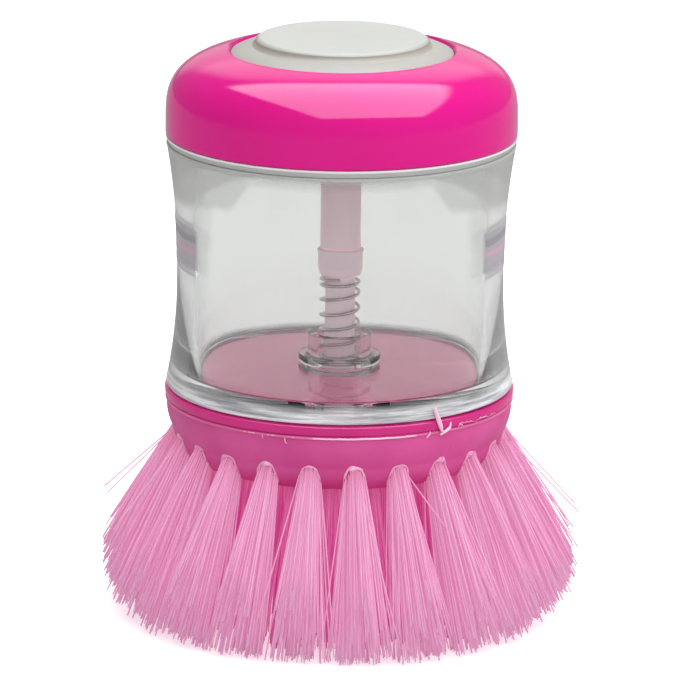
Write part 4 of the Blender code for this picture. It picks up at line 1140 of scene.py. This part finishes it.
def make_flash():
    """The seam under the band, and the thin pale fins and burrs that moulding leaves on part of it."""
    seam_z = 0.5 * (COLLAR_Z + BASE_TOP_Z)
    seam = [front_spot(0.5 * step, BASE_RADIUS + 0.02, seam_z) for step in range(720)]
    mesh = tube("band_seam", seam + seam[:1], 0.21, 8)
    add_piece("band_seam", mesh, "reservoir", SEAM_LOOK)
    parts = []
    for start, end, out, up, wave, left, right, rough in FINS:
        points = []
        radii = []
        for degrees in np.linspace(start, end, 301):
            uneven = ripple(math.radians(degrees), 11, (9, 23, 47, 97, 211), 1.0)
            points.append(front_spot(degrees, BASE_RADIUS + out, seam_z + up + wave * uneven))
            size = left + (right - left) * smooth_step(degrees, *FINS_GROW) + rough * uneven
            ends = smooth_step(degrees, start, start + FIN_START) * smooth_step(degrees, end, end - FIN_END)
            radii.append(LEAST_FLASH + ends * max(0.0, size))
        parts.append(tube("flash", points, radii, 6))
    for places, size in BURRS:
        path = [front_spot(*place) for place in places]
        fine = path[:1]
        for first, second in zip(path, path[1:]):
            fine += [*stretch(first, second, 4), second]
        shares = np.linspace(0.15, 0.95, len(fine))
        parts.append(tube("burr", fine, size * (0.35 + 0.65 * np.sin(math.pi * shares)), 6))
    add_piece("band_flash", joined("band_flash", parts), "reservoir", FLASH_LOOK)


# Bristles

# Kinds of filaments: how many a tuft has, how far they spread away from the axis and along the ring in
# degrees, and how ragged their ends are.
MAIN_KIND = (170, 9.5, 5.2, 0.5)
LOOSE_KIND = (8, 11.0, 10.0, 0.8)
MIDDLE_KIND = (72, 5.0, 5.4, 0.4)
INNER_KIND = (56, 3.6, 4.4, 0.4)
LOOSE_LONGER = 0.8

# How much single filaments stray from their place in the spread, and how far they bow
OUT_SCATTER = 0.018
SIDE_SCATTER = 0.03
BOW_SCATTER = 0.014

# Clumps across half a tuft, how much they run into each other, how far the filaments of a clump lean
# together towards their tips, and how much its length varies.
HALF_CLUMPS = 3.5
CLUMP_BLUR = 0.4
CLUMPING = 0.22
CLUMP_RAGGED = 1.1

# How much shorter the filaments at both sides are than those at the front, and how much more slanted
# their ends are.
SIDE_TRIM = 0.1
FRONT_SLANT = 0.4
SIDE_SLANT = 1.7

# How much the tips' reach varies, and how much shorter it is on the left; a filament's taper
REACH_VARIES = 1.7
LEFT_SHORTER = 0.9
TAPER_SHARE = 0.12
GOLDEN_SHARE = 0.618

# Tones of the filaments, from and by how much. The inner tufts' deeper pink is painted shade among the
# outer tufts.
OUTER_TONES = (0.54, 0.28)
INNER_TONES = (0.0, 0.4)

# Loose filaments of single outer tufts, as degrees away from the axis, degrees along the ring, and length.
STRAYS = {
    0: ((24.0, 12.0, 28.9),),
    1: ((25.0, 30.0, 28.4), (27.0, -9.0, 29.9)),
    5: ((44.0, 3.0, 21.4), (39.0, -4.0, 22.4)),
    6: ((42.0, -3.0, 21.4),),
    17: ((49.0, 2.0, 19.9), (44.0, -3.0, 21.4)),
    18: ((40.0, 4.0, 22.4),),
    20: ((24.0, -17.0, 29.4),),
}
STRAY_FOOT_OUT = 0.9


def tuft_angle(index):
    """The turn about Z of one place in the outer ring, from the front towards +X."""
    return math.radians(FIRST_TUFT_ANGLE + 360.0 * index / TUFT_COUNT)


def outer_root():
    """Radius and height of an outer tuft's end inside the bowl."""
    lean = math.radians(OUTER_LEAN)
    return OUTER_RING - PLUG_DEPTH * math.sin(lean), underside_z(OUTER_RING) + PLUG_DEPTH * math.cos(lean)


def stray_set(index):
    """The loose filaments of an outer tuft, laid out as filaments() does."""
    radius, height = outer_root()
    strays = np.array(STRAYS.get(index, ())).reshape(-1, 3)
    lean, side = np.radians(strays[:, :2]).T
    ways = np.stack([np.sin(lean), np.tan(side), -np.cos(lean)], axis=1)
    ways /= np.linalg.norm(ways, axis=1, keepdims=True)
    feet = np.tile((radius + STRAY_FOOT_OUT, 0.0, height), (len(strays), 1))
    return feet, ways, np.zeros_like(ways), strays[:, 2]


def tuft_axes(lean):
    """A tuft's direction, and those across it away from the axis and along the ring."""
    lean = math.radians(lean)
    away = (math.sin(lean), 0.0, -math.cos(lean))
    return np.array((away, (math.cos(lean), 0.0, math.sin(lean)), (0.0, 1.0, 0.0)))


def filaments(source, kind, root, lean, length, slant=0.0):
    """Feet, directions, bows and lengths of a tuft that stands at the front of its ring, in its plane.

    The tuft's plane holds the axis: X is away from the axis, Y along the ring, Z up. slant is how much
    shorter than the middle ones the filaments are that lean out most.
    """
    count, out_spread, side_spread, ragged = kind
    away, out, side = tuft_axes(lean)
    spot = np.sqrt(source.uniform(0.0, 1.0, count))
    turn = source.uniform(0.0, FULL_TURN, count)
    out_share = spot * np.cos(turn)
    side_share = spot * np.sin(turn)
    across = out_share[:, None] * out + side_share[:, None] * side
    feet = np.array((root[0], 0.0, root[1])) + TUFT_RADIUS * across
    out_lean = np.tan(np.radians(out_spread)) * out_share + source.normal(0.0, OUT_SCATTER, count)
    side_lean = np.tan(np.radians(side_spread)) * side_share + source.normal(0.0, SIDE_SCATTER, count)
    ways = away + out_lean[:, None] * out + side_lean[:, None] * side
    ways /= np.linalg.norm(ways, axis=1, keepdims=True)
    bow = source.normal(0.0, BOW_SCATTER, (count, 2))
    bows = bow[:, :1] * out + bow[:, 1:] * side
    lengths = length + ragged * source.normal(0.0, 1.0, count) - slant * (out_share + 0.4 * out_share**2)
    blur = source.uniform(-CLUMP_BLUR, CLUMP_BLUR, count)
    place = np.floor((side_share + 1.0) * HALF_CLUMPS + blur).astype(int)
    for clump in np.unique(place):
        chosen = place == clump
        bows[chosen] += CLUMPING * (ways[chosen].mean(axis=0) - ways[chosen])
        lengths[chosen] += CLUMP_RAGGED * ragged * source.normal()
    return feet, ways, bows, lengths


def filament_mesh(name, feet, ways, bows, lengths, tones, radius=FILAMENT_RADIUS):
    """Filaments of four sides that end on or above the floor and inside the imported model's box."""
    rings = 6
    sides = 4
    along = np.linspace(0.0, 1.0, rings)
    ends = ways + bows
    lengths = np.minimum(lengths, (feet[:, 2] - radius * 1.1) / np.maximum(-ends[:, 2], 0.2))
    lengths = lengths * (1.0 - SIDE_TRIM * (ways[:, 0] / np.hypot(ways[:, 0], ways[:, 1])) ** 4)
    varied = REACH_VARIES * (np.arange(len(feet)) * GOLDEN_SHARE % 1.0) ** 2
    reach = TIP_REACH - np.where(ways[:, 0] < 0.0, LEFT_SHORTER, 0.0) - varied
    for _ in range(6):
        tips = feet + ends * lengths[:, None]
        over = np.hypot(tips[:, 0], tips[:, 1]) - reach
        lengths = np.where(over > 0.0, lengths - 1.5 * over, lengths)
    bowed = ways[:, None] * along[:, None] + bows[:, None] * (along**2)[:, None]
    middles = feet[:, None] + lengths[:, None, None] * bowed
    across = across_of(ways)
    taper = radius * (1.0 - TAPER_SHARE * along)
    third = np.cross(ways, across)
    mesh = swept(name, middles, across[:, None], third[:, None], taper[None], sides, 0.5)
    shares = np.tile(np.repeat(along, sides), len(feet))
    for key, values in (("tone", np.repeat(tones, rings * sides)), ("along", shares)):
        mesh.attributes.new(key, "FLOAT", "POINT").data.foreach_set("value", values.astype(np.float32))
    return mesh


def add_tuft(source, name, replaced, angle, tones, sets):
    """Adds sets of filaments at their place round the axis, as one piece."""
    turn = np.array(Matrix.Rotation(angle - math.radians(90.0), 3, "Z")).T
    feet, ways, bows, lengths = (np.concatenate(items) for items in zip(*sets))
    shades = tones[0] + tones[1] * source.uniform(0.0, 1.0, len(feet))
    mesh = filament_mesh(name, feet @ turn, ways @ turn, bows @ turn, lengths, shades)
    add_piece(name, mesh, "reservoir", BRISTLE_LOOK, [replaced], sharp=0)


def make_bristles():
    source = np.random.default_rng(41)
    lean = OUTER_LEAN + OUTER_SPLAY
    root_z = BASE_Z + 0.3
    length = BASE_Z + 1.5
    for index in range(TUFT_COUNT):
        label = f"{index + 1:02d}"
        angle = tuft_angle(index)
        slant = FRONT_SLANT + SIDE_SLANT * math.sin(angle) ** 2
        sets = [
            filaments(source, MAIN_KIND, outer_root(), lean, OUTER_LENGTH, slant),
            filaments(source, LOOSE_KIND, outer_root(), lean, OUTER_LENGTH + LOOSE_LONGER, slant),
            stray_set(index),
        ]
        add_tuft(source, "bristles_outer_" + label, "outer_tuft_" + label, angle, OUTER_TONES, sets)
        sets = [
            filaments(source, MIDDLE_KIND, (MIDDLE_RING, root_z), MIDDLE_LEAN, length),
            filaments(source, INNER_KIND, (INNER_RING, root_z), INNER_LEAN, length),
        ]
        angle += 0.5 * FULL_TURN / TUFT_COUNT
        add_tuft(source, "bristles_inner_" + label, "inner_tuft_pair_" + label, angle, INNER_TONES, sets)


LIP_RADIUS = 1.68
LIP_POINTS = 40
LIP_WAVES = ((2, 0), (5, 1), (4, 1), (9, 2))
LIP_STEP = 0.04
LIP_SEARCH = 1.0
LEAST_LIP = 0.05
UPPER_LIP = 0.09
LUMP_BREADTH = 0.35


def inside_bowl(spot):
    """Whether a place lies inside the bowl's outer surface."""
    radius = math.hypot(spot[0], spot[1])
    if spot[2] > CORNER_Z:
        return radius < bowl_wall(spot[2])
    return radius < WALL_RADIUS and spot[2] > underside_z(radius)


def make_tuft_rims():
    """The thin uneven lip of pushed-up plastic where each outer tuft leaves the bowl, some with a lump."""
    source = np.random.default_rng(7)
    away, out, side = (Vector(axis) for axis in tuft_axes(OUTER_LEAN))
    root = Vector((outer_root()[0], 0.0, outer_root()[1])) - PLUG_DEPTH * away
    rims = []
    for index in range(TUFT_COUNT):
        place = Matrix.Rotation(tuft_angle(index) - math.radians(90.0), 4, "Z")
        phases = source.uniform(0.0, FULL_TURN, 4)
        lump_at = source.uniform(-0.6, 0.6)
        lump = source.uniform(0.2, 0.45) if index % 3 != 1 else 0.0
        points = []
        thick = []
        for turn in np.linspace(0.0, FULL_TURN, LIP_POINTS + 1):
            waves = [math.sin(times_round * turn + phases[phase]) for times_round, phase in LIP_WAVES]
            radius = LIP_RADIUS + 0.04 * waves[0] + 0.02 * waves[1]
            spot = root + radius * (math.cos(turn) * out + math.sin(turn) * side)
            while inside_bowl(spot) and spot.z > BASE_Z - LIP_SEARCH:
                spot = spot + LIP_STEP * away
            points.append(place @ spot)
            off = (turn - lump_at + math.pi) % FULL_TURN - math.pi
            upper = (UPPER_LIP + 0.03 * waves[2] + 0.02 * waves[3]) * smooth_step(math.cos(turn), 0.2, 0.6)
            thick.append(LEAST_LIP + upper + lump * math.exp(-(off / LUMP_BREADTH) ** 2))
        rims.append(tube("rim", points, thick, 7))
    add_piece("tuft_rims", joined("tuft_rims", rims), "reservoir", RIM_LOOK)


# Floor, light and camera. Lengths are in metres from here on.

FLOOR_RADIUS = 4.0
FLOOR_DROP = 0.0001
FLOOR_GLOW = 0.5
FLOOR_GLOW_IN_GLASS = 0.18
FLOOR_DIMMED_IN_GLOSS = 0.6
WHITE = (1.0, 1.0, 1.0, 1.0)


def rays(tree):
    """Whether a ray comes from the camera, or has been mirrored or gone through something."""
    path = node(tree, "LightPath", {}).outputs
    return path["Is Camera Ray"], path["Is Glossy Ray"], path["Is Transmission Ray"]


def make_floor():
    """A pale floor that glows where the camera or a clear part shows it, and is dim in glossy parts."""
    material, tree = new_material("floor_pale")
    seen, glossy, through = rays(tree)
    drift = noise(tree, object_place(tree), 3.0, 2.0)
    colour = colour_mix(tree, drift, (217, 217, 217), (220, 220, 220))
    mirrored = number(tree, "SUBTRACT", glossy, through, clamp=True)
    colour = colour_mix(tree, times(tree, mirrored, FLOOR_DIMMED_IN_GLOSS), colour, (60, 60, 60))
    matt = node(tree, "BsdfDiffuse", {"Color": colour})
    in_glass = times(tree, through, FLOOR_GLOW_IN_GLASS)
    level = number(tree, "MAXIMUM", in_glass, times(tree, seen, FLOOR_GLOW))
    glow = node(tree, "Emission", {0: WHITE, 1: level})
    surfaced(material, node(tree, "AddShader", {0: matt, 1: glow}))
    work = bmesh.new()
    bmesh.ops.create_circle(work, cap_ends=True, radius=FLOOR_RADIUS, segments=96)
    bmesh.ops.translate(work, verts=work.verts, vec=(0.0, 0.0, -FLOOR_DROP))
    mesh = mesh_from(work, "floor")
    mesh.materials.append(material)
    floor = bpy.data.objects.new("floor", mesh)
    bpy.context.scene.collection.objects.link(floor)


# The softbox above the object, as the four sides of its outline seen from the object: each side is
# the plane through the object and that side, given by its normal, and is soft over a width.
SOFTBOX_SIDES = (
    ((1.0, 0.18, 0.57), 0.03),
    ((-0.19, 1.0, 1.16), 0.03),
    ((-1.0, -0.57, 1.0), 0.05),
    ((0.1, -1.0, 0.8), 0.05),
)
SOFTBOX_LEVEL = 1.8
SOFTBOX_GLOSS = 4.8
SOFTBOX_TINT = (0.9, 1.0, 1.1, 1.0)
AMBIENT_LEVEL = 0.7
SIDE_BIAS = 0.42
FRONT_GLOSS = 0.3
REAR_GLOSS = 0.22
REAR_CARD_GLOSS = 1.0


def make_world():
    """A softbox and an even room; glossy parts mirror a dim room, a bright softbox and a card behind."""
    world = bpy.data.worlds.new("studio")
    bpy.context.scene.world = world
    world.use_nodes = True
    tree = world.node_tree
    tree.nodes.clear()
    seen, glossy, through = rays(tree)
    way = node(tree, "TexCoord", {}).outputs["Generated"]
    inside = []
    for normal, width in SOFTBOX_SIDES:
        unit = tuple(part / math.hypot(*normal) for part in normal)
        share = node(tree, "VectorMath", {0: way, 1: unit}, operation="DOT_PRODUCT").outputs[1]
        inside.append(eased(tree, share, -width, width))
    box = times(tree, *inside)
    along_x, along_y, height = node(tree, "SeparateXYZ", {0: way}).outputs
    ambient = number(tree, "ADD", times(tree, along_x, SIDE_BIAS), AMBIENT_LEVEL)
    room = eased(tree, along_y, -0.75, 0.1, FRONT_GLOSS, REAR_GLOSS)
    foot = eased(tree, height, 0.0, 0.1, 0.0, 0.5)
    card = times(
        tree, eased(tree, along_y, 0.6, 0.75),
        number(tree, "ADD", foot, eased(tree, height, 0.3, 0.42, 0.0, 0.5)),
        eased(tree, number(tree, "ABSOLUTE", along_x), 0.24, 0.42, 1.0, 0.0), REAR_CARD_GLOSS
    )
    level = mix(tree, glossy, ambient, number(tree, "ADD", room, card))
    box_level = mix(tree, glossy, SOFTBOX_LEVEL, SOFTBOX_GLOSS)
    level = number(tree, "ADD", level, times(tree, box, box_level))
    level = mix(tree, seen, mix(tree, through, level, 1.0), 1.0)
    colour = colour_mix(tree, times(tree, box, glossy), WHITE, SOFTBOX_TINT)
    node(tree, "OutputWorld", {"Surface": node(tree, "Background", {0: colour, 1: level})})


CAMERA_DISTANCE = 1.0
CAMERA_ELEVATION = 14.3
CAMERA_ROLL = 0.58
CAMERA_AIM_MM = (1.3, 0.0, 40.0)
CAMERA_LENS = 338.07
CAMERA_SENSOR = 36.0
CAMERA_SEES = (0.05, 20.0)


def make_camera():
    data = bpy.data.cameras.new("camera")
    data.lens = CAMERA_LENS
    data.sensor_width = CAMERA_SENSOR
    data.clip_start, data.clip_end = CAMERA_SEES
    camera = bpy.data.objects.new("camera", data)
    bpy.context.scene.collection.objects.link(camera)
    rise = math.radians(CAMERA_ELEVATION)
    aim = Vector(CAMERA_AIM_MM) * MM
    camera.location = aim + CAMERA_DISTANCE * Vector((0.0, -math.cos(rise), math.sin(rise)))
    look = (aim - camera.location).to_track_quat("-Z", "Y").to_matrix().to_4x4()
    roll = Matrix.Rotation(math.radians(CAMERA_ROLL), 4, "Z")
    camera.rotation_euler = (look @ roll).to_euler()
    bpy.context.scene.camera = camera


make_camera()
make_world()
make_floor()
make_reservoir()
make_cap()
make_button()
make_valve()
make_spring()
make_base()
make_bristles()
make_tuft_rims()

bpy.context.scene.view_settings.view_transform = "Standard"
